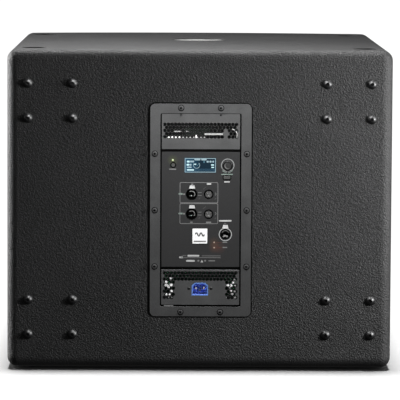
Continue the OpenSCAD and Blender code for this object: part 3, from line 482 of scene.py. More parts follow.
LOOKS = {
    "black_coating": coating(),
    "bare_plywood": plywood(),
    "black_plastic": mottled("black_plastic", (0.010, 0.010, 0.0105), (0.02, 0.02, 0.021), 0.0007, 0.0001,
                             rough=(0.35, 0.5)),
    "grille_steel": perforated_coat(),
    "foam": foam(),
    "rubber": rubber(),
    "zinc_steel": zinc(),
    "black_steel": black_steel(),
    "cast_frame": mottled("cast_black_paint", (0.012, 0.012, 0.012), (0.03, 0.03, 0.03), 0.0015, 0.0003,
                          rough=(0.4, 0.6)),
    "motor_steel": mottled("motor_steel", (0.25, 0.25, 0.26), (0.42, 0.42, 0.43), 0.0012, 0.0001,
                           rough=(0.3, 0.45), Metallic=1.0),
    "ferrite": mottled("ferrite", (0.03, 0.03, 0.033), (0.06, 0.06, 0.065), 0.001, 0.0001, rough=(0.5, 0.7)),
    "cone_paper": mottled("cone_paper", (0.012, 0.012, 0.013), (0.03, 0.03, 0.031), 0.0018, 0.0004,
                          rough=(0.6, 0.85)),
    "coil": mottled("copper_winding", (0.42, 0.18, 0.07), (0.62, 0.3, 0.12), 0.0006, 0.0002,
                    rough=(0.3, 0.45), Metallic=0.8),
    "spider_cloth": mottled("resin_cloth", (0.32, 0.2, 0.07), (0.5, 0.35, 0.15), 0.0008, 0.0003,
                            rough=(0.7, 0.9)),
    "cable": mottled("cable_jacket", (0.012, 0.012, 0.012), (0.03, 0.03, 0.03), 0.0015, 0.0001,
                     rough=(0.45, 0.6)),
    "amp_panel_grey": panel_paint("panel_grey_paint", (0.037, 0.0374, 0.0378), (0.06, 0.0606, 0.0612)),
    "heatsink_aluminium": mottled("black_anodised_aluminium", (0.008, 0.008, 0.0085), (0.02, 0.02, 0.021),
                                  0.0015, 0.0001, rough=(0.3, 0.45), Metallic=0.4),
    "circuit_board": circuit_board(),
    "fan_plastic": mottled("fan_plastic", (0.008, 0.008, 0.008), (0.018, 0.018, 0.018), 0.0008, 0.0001),
    "inlet_blue": inlet_finish(),
    "contacts": mottled("plated_contacts", (0.62, 0.6, 0.52), (0.85, 0.83, 0.76), 0.0008, 0.00005,
                        rough=(0.15, 0.3), Metallic=1.0),
    "white_plastic": mottled("white_plastic", (0.42, 0.42, 0.42), (0.55, 0.55, 0.55), 0.0006, 0.00008,
                             rough=(0.35, 0.5)),
    "ring_grey": ring_finish(),
    "metal_shaft": mottled("turned_steel", (0.4, 0.4, 0.4), (0.6, 0.6, 0.6), 0.0006, 0.00005,
                           rough=(0.25, 0.35), Metallic=1.0),
    "knob_black": knob_finish(),
    "button_grey": mottled("button_plastic", (0.045, 0.046, 0.044), (0.075, 0.076, 0.074), 0.0006, 0.00008,
                           rough=(0.35, 0.5)),
    "display_glass": display_glass(),
    "led_lens": lens_finish(),
}
# Near-black matt: the sockets' own black, and the colour of the painted shade and painted shadow pieces.
BLACK_AND_PAINTED_SHADE = mottled("black_and_painted_shade", (0.0006, 0.0006, 0.0006), (0.0016, 0.0016, 0.0016), 0.001, 0.00005,
                    rough=(0.7, 0.9), Specular_IOR_Level=0.03)
NODE_LOOKS = {
    "combo_jacks": BLACK_AND_PAINTED_SHADE,
    "xlr_outputs": BLACK_AND_PAINTED_SHADE,
    "amp_screws": screw_paint(),
    "control_plate": control_paint(),
    "top_vent_plate": panel_paint("plate_grey_paint", (0.044, 0.0444, 0.0448), (0.071, 0.0718, 0.0724)),
    "network_port": port_finish(),
}
INKS = {
    "light": ink("ink_light_grey", 0.17),
    "bright": ink("ink_white", 0.45),
    "dim": ink("ink_dim", 0.09),
    "green": ink("ink_green_grey", 0.24, (0.8, 1.0, 0.9)),
    "white": ink("ink_badge_white", 0.88),
    "mark": ink("ink_badge_grey", 0.03),
    "amber": glowing("amber_glow", (0.20, 0.08, 0.06), 0.3),
}

NODE_LOOKS["inlet_plate"] = NODE_LOOKS["top_vent_plate"]
SOFT_EDGES = {"amp_frame": 1.3 * MM}
SOCKET_GREY = mottled("socket_grey", (0.06, 0.06, 0.06), (0.1, 0.1, 0.1), 0.0005, 0.00005,
                      rough=(0.3, 0.5))
GLINT_METAL = mottled("glint_metal", (0.26, 0.26, 0.26), (0.4, 0.4, 0.4), 0.0008, 0.0001,
                      rough=(0.25, 0.5))
DARK_BOARD = mottled("dark_board", (0.004, 0.012, 0.007), (0.008, 0.022, 0.012), 0.0015, 0.0002)
SOCKET_LIGHT = mottled("socket_light", (0.15, 0.15, 0.15), (0.24, 0.24, 0.24), 0.0005, 0.00005,
                       rough=(0.3, 0.5))


def soften(piece, width):
    """Small rounding on sharp edges."""
    edge = piece.modifiers.new("soft_edges", "BEVEL")
    edge.width = width
    edge.segments = 2
    edge.limit_method = "ANGLE"


for node, piece in frame["nodes"].items():
    piece.data.materials.clear()
    piece.data.materials.append(NODE_LOOKS.get(node) or LOOKS[NODE_SLOT[node]])
    if node in SOFT_EDGES:
        soften(piece, SOFT_EDGES[node])


# ---------------------------------------------------------------- mesh helpers

def rounded(w, h, r, x=0.0, y=0.0, steps=5):
    """Points of a rectangle with round corners, in mm, going round anticlockwise."""
    points = []
    for turn, (sx, sy) in enumerate(((1, -1), (1, 1), (-1, 1), (-1, -1))):
        cx, cy = x + sx * (w / 2 - r), y + sy * (h / 2 - r)
        for i in range(steps + 1):
            a = math.radians(-90 + 90 * turn + 90 * i / steps)
            points.append((cx + r * math.cos(a), cy + r * math.sin(a)))
    return points


def round_points(x, y, r, count=48, start=0.0, sweep=360.0):
    closed = sweep == 360.0
    steps = count if closed else count - 1
    angles = [math.radians(start + sweep * i / steps) for i in range(count)]
    return [(x + r * math.cos(a), y + r * math.sin(a)) for a in angles]


def prism(mesh, outline, z0, z1, place=on_panel):
    """Closed prism on an outline, from height z0 to z1."""
    low = [mesh.verts.new(place(x, y, z0)) for x, y in outline]
    high = [mesh.verts.new(place(x, y, z1)) for x, y in outline]
    count = len(outline)
    mesh.faces.new(list(reversed(low)))
    mesh.faces.new(high)
    for i in range(count):
        j = (i + 1) % count
        mesh.faces.new((low[i], low[j], high[j], high[i]))


def band(mesh, outer, inner, z0, z1, place=on_panel):
    """Closed prism between two outlines with as many points each."""
    loops = [[mesh.verts.new(place(x, y, z)) for x, y in points]
             for points, z in ((outer, z0), (outer, z1), (inner, z1), (inner, z0))]
    count = len(outer)
    for i in range(count):
        j = (i + 1) % count
        for a, b in zip(loops, loops[1:] + loops[:1]):
            mesh.faces.new((a[i], a[j], b[j], b[i]))


def bar(mesh, x, y, w, h, z0, z1):
    """Bar with round ends, centred on (x, y)."""
    prism(mesh, rounded(w, h, min(w, h) * 0.35, x, y, steps=3), z0, z1)


def line(mesh, ax, ay, bx, by, width, z0, z1):
    """Straight stroke from a to b."""
    length = math.hypot(bx - ax, by - ay)
    nx, ny = -(by - ay) / length * width / 2, (bx - ax) / length * width / 2
    prism(mesh, [(ax + nx, ay + ny), (ax - nx, ay - ny), (bx - nx, by - ny), (bx + nx, by + ny)], z0, z1)


def piece_from(mesh, name, look, body="cabinet", bevel=0.0):
    """Turns a bmesh into an object that rides on a body."""
    bmesh.ops.recalc_face_normals(mesh, faces=mesh.faces)
    data = bpy.data.meshes.new(name)
    mesh.to_mesh(data)
    mesh.free()
    piece = bpy.data.objects.new(name, data)
    bpy.context.scene.collection.objects.link(piece)
    data.materials.append(look)
    if bevel:
        soften(piece, bevel)
    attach(piece, body)
    return piece


# ---------------------------------------------------------------- front grille

BOW_R = 1500.0
NOSE_R = 40.0
GRILLE_IN = 1.0
SHEET_T = 1.5
HOLE_PITCH = 8.4
HOLE_ACROSS = 6.2


def grille():
    """Bowed steel sheet with hexagonal holes, in two halves, with a plain border and turned-in edges."""
    low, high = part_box("grille")
    crown = high.y / MM + GRILLE_IN
    bow_y = crown - BOW_R
    half_w = (high.x - low.x) / 2 / MM
    z_low, z_high = low.z / MM, high.z / MM
    nose_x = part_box("right_side_panel")[1].x / MM - NOSE_R
    turn = math.asin(nose_x / (BOW_R - NOSE_R))
    nose_y = bow_y + (BOW_R - NOSE_R) * math.cos(turn)
    bow_end = BOW_R * turn

    def sheet_point(s, z, depth):
        """Point at arc length s from the middle and height z, depth mm behind the outer face."""
        r = BOW_R - GRILLE_IN - depth
        if abs(s) <= bow_end:
            a = s / BOW_R
            return Vector((r * math.sin(a), bow_y + r * math.cos(a), z)) * MM
        side = math.copysign(1, s)
        a = turn + (abs(s) - bow_end) / NOSE_R
        r = NOSE_R - GRILLE_IN - depth
        return Vector((side * (nose_x + r * math.sin(a)), nose_y + r * math.cos(a), z)) * MM

    border = 16.0
    edge_turn = math.asin((half_w - nose_x) / (NOSE_R - GRILLE_IN))
    edge_s = bow_end + (edge_turn - turn) * NOSE_R
    open_s = bow_end - border
    row_step = HOLE_PITCH * math.sqrt(3) / 2
    open_z = (z_high - z_low) / 2 - border
    mid_z = (z_high + z_low) / 2
    rows = int(open_z // row_step)
    columns = int(open_s // HOLE_PITCH)
    corners = [math.radians(30 + 60 * k) for k in range(6)]
    outer_r, inner_r = HOLE_PITCH / math.sqrt(3), HOLE_ACROSS / math.sqrt(3)
    cell_loops = ((outer_r, 0), (inner_r, 0), (inner_r, SHEET_T), (outer_r, SHEET_T))
    for side, name in ((-1, "grille_mesh_left"), (1, "grille_mesh_right")):
        mesh = bmesh.new()
        for row in range(-rows, rows + 1):
            shift = 0.5 * (row % 2)
            for column in range(-columns, columns + 1):
                s = (column + shift) * HOLE_PITCH
                if abs(s) > open_s or (s < 0) != (side < 0):
                    continue
                z = mid_z + row * row_step
                loops = [[mesh.verts.new(sheet_point(s + radius * math.cos(a), z + radius * math.sin(a), depth))
                          for a in corners] for radius, depth in cell_loops]
                for a, b in zip(loops, loops[1:]):
                    for k in range(6):
                        m = (k + 1) % 6
                        mesh.faces.new((a[k], a[m], b[m], b[k]))
        bmesh.ops.remove_doubles(mesh, verts=mesh.verts, dist=0.02 * MM)
        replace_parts(piece_from(mesh, name, LOOKS["grille_steel"]), "grille")

    mesh = bmesh.new()
    steps = 64
    inner_s, inner_z = open_s - HOLE_PITCH * 0.6, row_step * rows - HOLE_PITCH * 0.1
    s_list = [-edge_s + 2 * edge_s * i / steps for i in range(steps + 1)]
    z_spans = ((z_low, mid_z - inner_z), (mid_z + inner_z, z_high))
    lip = 17.0
    for z0, z1 in z_spans:
        strip(mesh, sheet_point, s_list, z0, z1, 0.02, SHEET_T)
    for side in (-1, 1):
        ends = [side * (inner_s + (edge_s - inner_s) * i / 8) for i in range(9)]
        strip(mesh, sheet_point, ends, mid_z - inner_z, mid_z + inner_z, 0.02, SHEET_T)
    for z0 in (z_low, z_high - SHEET_T):
        strip(mesh, sheet_point, [s * 0.985 for s in s_list], z0, z0 + SHEET_T, 0.02, lip)
    back_y = low.y / MM + 0.3
    for side in (-1, 1):
        tip = sheet_point(side * edge_s, 0, 0) / MM
        x0, x1 = sorted((tip.x, tip.x - side * SHEET_T))
        corners = [(x0, back_y), (x1, back_y), (x1, tip.y), (x0, tip.y)]
        prism(mesh, corners, z_low, z_high, lambda x, y, z: Vector((x, y, z)) * MM)
    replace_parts(piece_from(mesh, "grille_border", LOOKS["grille_steel"]), "grille")


def strip(mesh, point, s_list, z0, z1, front, back):
    """Closed strip of sheet along the bow, between two heights and two depths."""
    loops = [[mesh.verts.new(point(s, z, depth)) for s in s_list]
             for z, depth in ((z0, front), (z1, front), (z1, back), (z0, back))]
    for a, b in zip(loops, loops[1:] + loops[:1]):
        for i in range(len(s_list) - 1):
            mesh.faces.new((a[i], a[i + 1], b[i + 1], b[i]))
    for i in (0, -1):
        mesh.faces.new([loop[i] for loop in loops])


grille()


# ---------------------------------------------------------------- printing on the panel, with painted shade and painted glints

WINDOW = 145.0
WINDOW_TALL = 348.0
VENT_R = 2.6
INK_LOW = PLATE_FRONT - 0.02
INK_HIGH = PLATE_FRONT + 0.06


def printing():
    """Outlines, tick marks and plain bars where captions would be. There is no lettering."""
    light, bright, dim, green = (bmesh.new() for _ in range(4))
    z = (INK_LOW, INK_HIGH)

    def box_line(x0, x1, y0, y1, r=2.2, w=1.0):
        cx, cy = (x0 + x1) / 2, (y0 + y1) / 2
        outer = rounded(x1 - x0 + w, y1 - y0 + w, r + w / 2, cx, cy)
        inner = rounded(x1 - x0 - w, y1 - y0 - w, r - w / 2, cx, cy)
        band(light, outer, inner, *z)

    left, right = -37.0, 30.8
    box_line(left, right, 13.2, 49.7)
    box_line(left, right, -24.3, 11.8)
    # label bars: power, encoder, back, network
    bar(light, -50.4, 73.5, 12.6, 2.3, *z)
    bar(green, 46.9, 64.5, 21.0, 2.0, *z)
    line(green, 38.4, 71.2, 46.4, 66.6, 1.1, *z)
    line(green, 57.2, 71.2, 49.2, 66.6, 1.1, *z)
    bar(bright, 47.0, 51.1, 10.4, 2.2, *z)
    bar(bright, 44.2, -19.0, 22.5, 2.8, *z)
    bar(dim, 44.0, -23.5, 4.5, 1.6, *z)
    # captions at the left of the two channels, and small marks round the sockets
    for y in (29.0, -6.2):
        bar(green, -36.0, y, 7.5, 3.0, *z)
        bar(light, -29.8, y - 0.3, 3.4, 3.0, *z)
        line(light, 26.0, y + 2.4, 28.2, y, 0.8, *z)
        line(light, 28.2, y, 26.0, y - 2.4, 0.8, *z)
        bar(light, -1.6, y + 2.6, 6.6, 0.9, *z)
        bar(light, -1.6, y - 2.6, 6.6, 0.9, *z)
        line(dim, 4.2, y + 8.6, 9.4, y + 12.8, 0.8, *z)
        line(dim, -3.4, y - 9.6, -1.2, y - 6.4, 0.8, *z)
        line(dim, 25.2, y - 9.8, 27.8, y - 7.2, 0.8, *z)
    bar(bright, 14.6, 47.2, 8.2, 2.6, *z)
    bar(light, -15.4, 46.6, 4.0, 2.4, *z)
    bar(light, -16.4, -21.8, 4.6, 2.4, *z)
    bar(light, 14.4, -21.9, 9.4, 2.6, *z)
    # small captions beside the two network lamps
    for y in (-57.6, -67.0):
        bar(light, 43.9, y, 8.4, 2.0, *z)
    # two rows of small marks at the foot of the plate
    bar(bright, -12.6, -82.2, 21.0, 3.0, *z)
    bar(dim, -28.6, -82.0, 7.4, 1.8, *z)
    bar(dim, 19.4, -82.4, 34.0, 2.0, *z)
    bar(light, 0.6, -85.6, 72.0, 0.9, *z)
    bar(bright, -34.6, -85.2, 7.0, 3.0, *z)
    bar(bright, -17.8, -91.4, 15.4, 3.2, *z)
    for x in (-3.6, 8.6):
        bar(light, x, -91.2, 3.6, 3.0, *z)
    prism(bright, [(0.2, -94.2), (5.2, -94.2), (2.7, -89.6)], *z)
    bar(light, 20.4, -91.2, 12.0, 2.0, *z)
    piece_from(light, "panel_printing_light", INKS["light"])
    piece_from(bright, "panel_printing_bright", INKS["bright"])
    piece_from(dim, "panel_printing_dim", INKS["dim"])
    piece_from(green, "panel_printing_green", INKS["green"])


def badge():
    """White square badge with a plain wavy line and a thin bar below it; no mark or lettering."""
    x, y = -1.1, -46.8
    mesh = bmesh.new()
    prism(mesh, rounded(26.6, 27.0, 0.8, x, y), PLATE_FRONT - 0.02, PLATE_FRONT + 0.7)
    piece_from(mesh, "blank_badge", INKS["white"], bevel=0.15 * MM)
    mesh = bmesh.new()
    low, high = PLATE_FRONT + 0.68, PLATE_FRONT + 0.74
    steps, wave_w, wave_h, wave_up = 24, 16, 3.2, 3
    wave = [(x + wave_w * (i / steps - 0.5), y + wave_up + wave_h * math.sin(4 * math.pi * i / steps))
            for i in range(steps + 1)]
    for a, b in zip(wave, wave[1:]):
        line(mesh, *a, *b, 2.2, low, high)
    piece_from(mesh, "badge_wave", INKS["mark"])
    mesh = bmesh.new()
    bar(mesh, x, y - 9.4, 22.0, 2.4, low, high)
    piece_from(mesh, "badge_bar", INKS["light"])


def display_marks():
    """A generic screen: border, columns of short bars, a dial arc and a paler lower band."""
    w, h = 56.0, 26.0
    back = (REAR_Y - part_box("display_module")[0].y) / MM - 0.03
    faint, pale, bright, lower = (bmesh.new() for _ in range(4))

    def mark(mesh, u0, u1, v0, v1):
        """Bar from fractions of the screen across and down from its top left."""
        x = DISPLAY_X + w * ((u0 + u1) / 2 - 0.5)
        y = DISPLAY_Y - h * ((v0 + v1) / 2 - 0.5)
        bar(mesh, x, y, w * (u1 - u0), h * (v1 - v0), back, back + 0.09)

    band(pale, rounded(w - 0.6, h - 0.6, 0.8, DISPLAY_X, DISPLAY_Y),
         rounded(w - 2.6, h - 2.6, 0.5, DISPLAY_X, DISPLAY_Y), back, back + 0.08)
    prism(lower, rounded(w * 0.66, h * 0.2, 0.4, DISPLAY_X + w * 0.15, DISPLAY_Y - h * 0.33),
          back, back + 0.03)
    for spot in ((0.31, 0.50, 0.04, 0.16), (0.53, 0.70, 0.04, 0.16), (0.17, 0.30, 0.18, 0.30),
                 (0.70, 0.77, 0.18, 0.31), (0.79, 0.86, 0.18, 0.31), (0.88, 0.94, 0.18, 0.31),
                 (0.16, 0.22, 0.40, 0.53), (0.07, 0.22, 0.59, 0.68)):
        mark(pale, *spot)
    for spot in ((0.07, 0.16, 0.18, 0.31), (0.06, 0.15, 0.40, 0.53), (0.07, 0.30, 0.77, 0.87),
                 (0.84, 0.94, 0.43, 0.52), (0.85, 0.94, 0.60, 0.68), (0.30, 0.37, 0.39, 0.47)):
        mark(bright, *spot)
    dial_x, dial_y = DISPLAY_X - 0.12 * w, DISPLAY_Y + 0.01 * h
    ring = [round_points(dial_x, dial_y, r, 32, 150, 255) for r in (6.0, 5.2)]
    prism(pale, ring[0] + ring[1][::-1], back, back + 0.08)
    line(faint, dial_x + 0.6, dial_y - 1.6, dial_x + 4.2, dial_y + 2.6, 0.9, back, back + 0.08)
    mark(faint, 0.60, 0.64, 0.18, 0.34)
    kinds = ((faint, "faint", (0.10, 0.24, 0.32), 0.8), (pale, "pale", (0.36, 0.5, 0.56), 0.95),
             (bright, "bright", (0.62, 0.88, 0.95), 0.95), (lower, "lower", (0.05, 0.11, 0.17), 0.9))
    for mesh, name, colour, strength in kinds:
        piece_from(mesh, "display_marks_" + name, glowing("display_" + name, colour, strength))


def socket_details():
    """Arcs seen inside the sockets, and painted highlights in white on the contacts in them."""
    front = (REAR_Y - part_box("combo_jacks")[0].y) / MM
    arcs, tips, discs = bmesh.new(), bmesh.new(), bmesh.new()
    for x, y in COMBOS:
        arc = [round_points(x, y, r, 32, -30, 160) for r in (6.4, 5.3)]
        prism(arcs, arc[0] + arc[1][::-1], front - 0.5, front + 0.12)
        # painted highlight on the lower contact of each combo socket
        prism(tips, round_points(x - 0.6, y - 2.9, 1.3, 20), front - 3, front - 0.2)
        moon = round_points(x, y - 0.6, 5.0, 24, 200, 140)
        prism(discs, moon, front - 2.5, front - 0.4)
    for x, y in middles("xlr_outputs", 20):
        disc = (REAR_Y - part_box("xlr_outputs")[0].y) / MM - 2.4
        prism(discs, round_points(x, y, 6.1, 32), disc - 1, disc)
        # painted highlights: the three contacts of each output are white ink
        for turn in (30, 150, 270):
            a = math.radians(turn)
            contact = round_points(x + 3.9 * math.cos(a), y + 3.9 * math.sin(a), 1.3, 16)
            prism(tips, contact, disc - 0.5, disc + 0.8)
    inlet_pins = sorted((at for at in middles("connector_pins", 5) if at[1] < -100), key=lambda at: at[1])
    # painted highlights on the two upper contacts of the power inlet
    for x, y in inlet_pins[-2:]:
        prism(tips, rounded(2.4, 3.4, 0.4, x, y), PLATE_FRONT - 7, PLATE_FRONT - 0.6)
    piece_from(arcs, "combo_inner_arcs", SOCKET_LIGHT, bevel=0.1 * MM)
    piece_from(tips, "socket_contact_highlights", INKS["bright"], bevel=0.1 * MM)
    piece_from(discs, "socket_inserts", SOCKET_GREY)
    shell, lip = bmesh.new(), bmesh.new()
    arc = [round_points(PORT_X, PORT_Y, r, 24, 25, 130) for r in (7.2, 5.8)]
    prism(shell, arc[0] + arc[1][::-1], PLATE_FRONT - 3, PLATE_FRONT + 0.5)
    rise = round_points(PORT_X, PORT_Y - 6.6, 5.4, 20, 20, 140)
    notch = round_points(PORT_X, PORT_Y - 7.0, 2.8, 20, 20, 140)
    prism(lip, rise + notch[::-1], PLATE_FRONT - 3, PLATE_FRONT + 0.4)
    piece_from(shell, "network_socket_shell", SOCKET_GREY, bevel=0.1 * MM)
    piece_from(lip, "network_socket_lip", SOCKET_LIGHT, bevel=0.15 * MM)


def painted_shade_rings_and_marks():
    """Black rings round the two buttons, small tick marks, and painted shade: black rings round the screw
    heads, black discs in their sockets and a black band round the flange.
    """
    mesh = bmesh.new()
    x, y = middle("power_button")
    band(mesh, round_points(x, y, 5.2), round_points(x, y, 3.5), INK_LOW, INK_HIGH)
    x, y = middle("back_button")
    band(mesh, rounded(15.0, 8.6, 2.2, x, y), rounded(12.2, 6.2, 1.2, x, y), INK_LOW, INK_HIGH)
    flange = (REAR_Y - PANEL_LOW.y) / MM
    head = (REAR_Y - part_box("amp_screws")[0].y) / MM
    for x, y in middles("amp_screws", 14):
        # painted shadow: a black ring round each screw head, and a black disc of painted shade in its socket
        band(mesh, round_points(x, y, 5.7), round_points(x, y, 4.6), flange - 0.02, flange + 0.06)
        prism(mesh, round_points(x - 0.4, y, 1.9, 12), head - 1.0, head + 0.03)
    for x in (-36.8, -34.6):
        bar(mesh, x, 171.2, 0.9, 6.0, INK_LOW, INK_HIGH)
    bar(mesh, 35.4, 170.4, 2.6, 2.6, INK_LOW, INK_HIGH)
    piece_from(mesh, "painted_shade_rings_and_marks", BLACK_AND_PAINTED_SHADE)
    w, h = ((b - a) / MM for a, b in ((PANEL_LOW.x, PANEL_HIGH.x), (PANEL_LOW.z, PANEL_HIGH.z)))
    mesh = bmesh.new()
    # painted shadow: a black band round the flange on the coated face
    band(mesh, rounded(w + 4.4, h + 4.4, 12.2), rounded(w - 2, h - 2, 9), -0.3, 0.9)
    piece_from(mesh, "frame_shadow_gap", BLACK_AND_PAINTED_SHADE)


def lamp_glow():
    """Faint warm lines of painted glow from the two network lamps to their captions."""
    mesh = bmesh.new()
    for x, y in LAMPS[:2]:
        bar(mesh, x + 8.4, y, 11.0, 0.9, INK_LOW, INK_HIGH)
    piece_from(mesh, "network_lamp_painted_glow", INKS["amber"])


VENT_GLINTS_LEFT = ((-61.1, -132.9, 3.2), (-52.6, -132.9, 3.2), (-56.9, -136.6, 2.6), (-61.1, -127.3, 2.2),
                    (-53.3, -120.9, 2.0), (-51.2, -143.6, 2.6), (-60.6, -150.0, 2.0), (-54.8, -150.0, 2.0),
                    (-56.2, -155.2, 1.1), (-51.2, -155.2, 1.1))
VENT_GLINTS_RIGHT = ((49.6, -132.9, 2.6), (55.3, -133.6, 2.8), (58.8, -128.2, 2.4), (53.1, -137.2, 1.8),
                     (61.2, -123.0, 1.8), (62.4, -133.6, 1.8), (57.4, -148.6, 2.2), (61.8, -144.3, 1.9),
                     (55.3, -142.9, 2.0), (62.4, -155.0, 1.8))


def vent_glints_and_board():
    """What shows in the vents, partly painted glints: white and metal-grey marks laid at the plate's front for
    the wiring, connectors and bracket metal behind the holes, and a board's edge set back.
    """
    front = PLATE_FRONT - 0.05
    white, metal, board = bmesh.new(), bmesh.new(), bmesh.new()
    # painted glints: bright marks that lie over the plate's front, across the webs between the holes
    bar(metal, 22.8, 136.6, 33.0, 2.8, front - 1, front + 0.12)
    bar(metal, -41.8, 141.2, 13.0, 1.9, front - 1, front + 0.1)
    bar(metal, -24.4, 141.4, 4.4, 1.2, front - 1, front + 0.1)
    for i in range(11):
        prism(white if i < 4 else metal, round_points(-57.6 + 6.4 * i, 130.6, 1.6 if i < 4 else 1.2, 16),
              front - 1, front + 0.1)
    line(white, -8.7, 129.6, -8.5, 135.0, 1.9, front - 1, front + 0.12)
    for start, sweep in ((-28, 30), (8, 36), (54, 30)):
        outer, inner = (round_points(54.6, 135.6, r, 12, start, sweep) for r in (10.8, 9.5))
        prism(metal, outer + inner[::-1], front - 1, front + 0.12)
    back = PLATE_FRONT - 5.0
    prism(board, rounded(46, 15, 1, -6, 140), back - 1.5, back)
    for x, y, r in VENT_GLINTS_LEFT + VENT_GLINTS_RIGHT:
        prism(white if r > 1.9 else metal, round_points(x, y - 2.2, 0.88 * r, 20), front - 1, front + 0.1)
    piece_from(white, "vent_painted_glints_white", INKS["white"])
    piece_from(metal, "vent_painted_glints_metal", GLINT_METAL)
    piece_from(board, "vent_board", DARK_BOARD)


def vent_hole_painted_shade():
    """Black rings of painted shade round the punched vent holes, found from the holes in the plates themselves.
    """
    mesh = bmesh.new()
    for node in ("top_vent_plate", "inlet_plate"):
        # painted shade: a black ring just round each hole
        for x, y in hole_middles(node, 2 * VENT_R):
            band(mesh, round_points(x, y, VENT_R + 0.5, 16), round_points(x, y, VENT_R - 0.1, 16),
                 INK_LOW, INK_HIGH)
    piece_from(mesh, "vent_hole_painted_shade", BLACK_AND_PAINTED_SHADE)


def hole_middles(node, across):
    """Middles of a plate's round holes of one diameter, from the edges of its front face."""
    shape = bmesh.new()
    shape.from_mesh(frame["nodes"][node].data)
    bmesh.ops.remove_doubles(shape, verts=shape.verts, dist=0.001 * MM)
    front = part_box(node)[0].y
    found = []
    sharp, near_front = math.radians(69), 0.01 * MM
    ring = [e for e in shape.edges if len(e.link_faces) == 2 and e.calc_face_angle(0) > sharp
            and all(abs(v.co.y - front) < near_front for v in e.verts)]
    nearby = {}
    for edge in ring:
        for vert in edge.verts:
            nearby.setdefault(vert.index, set()).update(v.index for v in edge.verts)
    shape.verts.ensure_lookup_table()
    seen = set()
    for first in nearby:
        if first in seen:
            continue
        loop, todo = set(), [first]
        while todo:
            at = todo.pop()
            if at not in loop:
                loop.add(at)
                todo.extend(nearby[at] - loop)
        seen |= loop
        xs = [shape.verts[i].co.x for i in loop]
        zs = [shape.verts[i].co.z for i in loop]
        if all(abs(max(side) - min(side) - across * MM) < 0.3 * MM for side in (xs, zs)):
            found.append((((max(xs) + min(xs)) / 2 - AMP_X) / MM, ((max(zs) + min(zs)) / 2 - AMP_Z) / MM))
    shape.free()
    return found


def plate_edges():
    """Black bands of painted shadow in the gaps round each plate; a pale bar of painted highlight along the top
    of the lower one, and a small label at its foot.
    """
    gap = 2.7
    # painted shadow: black bands where the plates meet the window and each other
    black = bmesh.new()
    for node in ("top_vent_plate", "control_plate", "inlet_plate"):
        low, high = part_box(node)
        y0, y1 = ((z - AMP_Z) / MM for z in (low.z, high.z))
        half = WINDOW / 2
        y0, y1 = max(y0, -WINDOW_TALL / 2), min(y1, WINDOW_TALL / 2)
        for x in (-half + gap / 2, half - gap / 2):
            bar_flat(black, x, (y0 + y1) / 2, gap, y1 - y0)
    bar_flat(black, 0, -WINDOW_TALL / 2 + 1.7, WINDOW, 3.4)
    bar_flat(black, 0, WINDOW_TALL / 2 - 0.6, WINDOW, 1.2)
    for upper, lower, more in (("top_vent_plate", "control_plate", 0.8), ("control_plate", "inlet_plate", 0.6)):
        y0 = (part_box(lower)[1].z - AMP_Z) / MM - (0.4 if upper == "top_vent_plate" else 0.9)
        y1 = (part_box(upper)[0].z - AMP_Z) / MM + more
        bar_flat(black, 0, (y0 + y1) / 2, WINDOW, y1 - y0)
    piece_from(black, "plate_painted_shadow_gaps", BLACK_AND_PAINTED_SHADE)

    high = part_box("inlet_plate")[1]
    top = (high.z - AMP_Z) / MM
    # painted highlight: a pale bar for the lit top edge of the inlet plate
    mesh = bmesh.new()
    inner = WINDOW - 2 * gap
    prism(mesh, rounded(inner, 1.5, 0.2, 0, top - 1.7), PLATE_FRONT - 0.02, PLATE_FRONT + 0.25)
    piece_from(mesh, "inlet_plate_painted_highlight", mottled("painted_edge_highlight", (0.09, 0.09, 0.092), (0.13, 0.13, 0.132),
                                                  0.0009, 0.00008), bevel=0.2 * MM)
    mesh = bmesh.new()
    bar(mesh, -56.7, -WINDOW_TALL / 2 + 1.6, 17.3, 1.9, PLATE_FRONT - 0.02, PLATE_FRONT + 0.2)
    piece_from(mesh, "small_label", INKS["light"])


def bar_flat(mesh, x, y, w, h):
    """Thin plain rectangle lying on the plates."""
    outline = [(x - w / 2, y - h / 2), (x + w / 2, y - h / 2), (x + w / 2, y + h / 2), (x - w / 2, y + h / 2)]
    prism(mesh, outline, INK_LOW, INK_LOW + 0.07)


printing()
badge()
display_marks()
socket_details()
painted_shade_rings_and_marks()
lamp_glow()
vent_glints_and_board()
vent_hole_painted_shade()
plate_edges()


# ---------------------------------------------------------------- studio

def area_light(name, at, towards, size, power):
    """Soft box that lights the object and isn't seen itself."""
    data = bpy.data.lights.new(name, "AREA")
    data.shape = "RECTANGLE"
    data.size, data.size_y = size
    data.energy = power
    lamp = bpy.data.objects.new(name, data)
    bpy.context.scene.collection.objects.link(lamp)
    lamp.location = at
    lamp.rotation_euler = (Vector(towards) - Vector(at)).to_track_quat("-Z", "Y").to_euler()
    lamp.visible_camera = False
    return lamp


def floor():
    """Pale floor with a light of its own from above, so that it is white but for a contact shadow."""
    mesh = bmesh.new()
    half = 40.0
    mesh.faces.new([mesh.verts.new((x * half, y * half, 0)) for x, y in ((-1, -1), (1, -1), (1, 1), (-1, 1))])
    data = bpy.data.meshes.new("floor")
    mesh.to_mesh(data)
    mesh.free()
    ground = bpy.data.objects.new("floor", data)
    look = Look("pale_floor", Specular_IOR_Level=0.0)
    fine = look.noise(0.4, detail=2)
    look.colour(look.ramp(fine, (0.3, 0.80), (0.7, 0.82)))
    look.rough(0.9)
    data.materials.append(look.material)
    ground.visible_diffuse = False
    ground.visible_glossy = False
    lit = bpy.data.collections.new("floor_only")
    bpy.context.scene.collection.children.link(lit)
    lit.objects.link(ground)
    sun = bpy.data.lights.new("floor_sun", "SUN")
    sun.energy = 3.9
    sun.angle = math.radians(11.0)
    lamp = bpy.data.objects.new("floor_sun", sun)
    bpy.context.scene.collection.objects.link(lamp)
    lamp.rotation_euler = (math.radians(-2.6), 0, 0)
    lamp.light_linking.receiver_collection = lit
    return ground


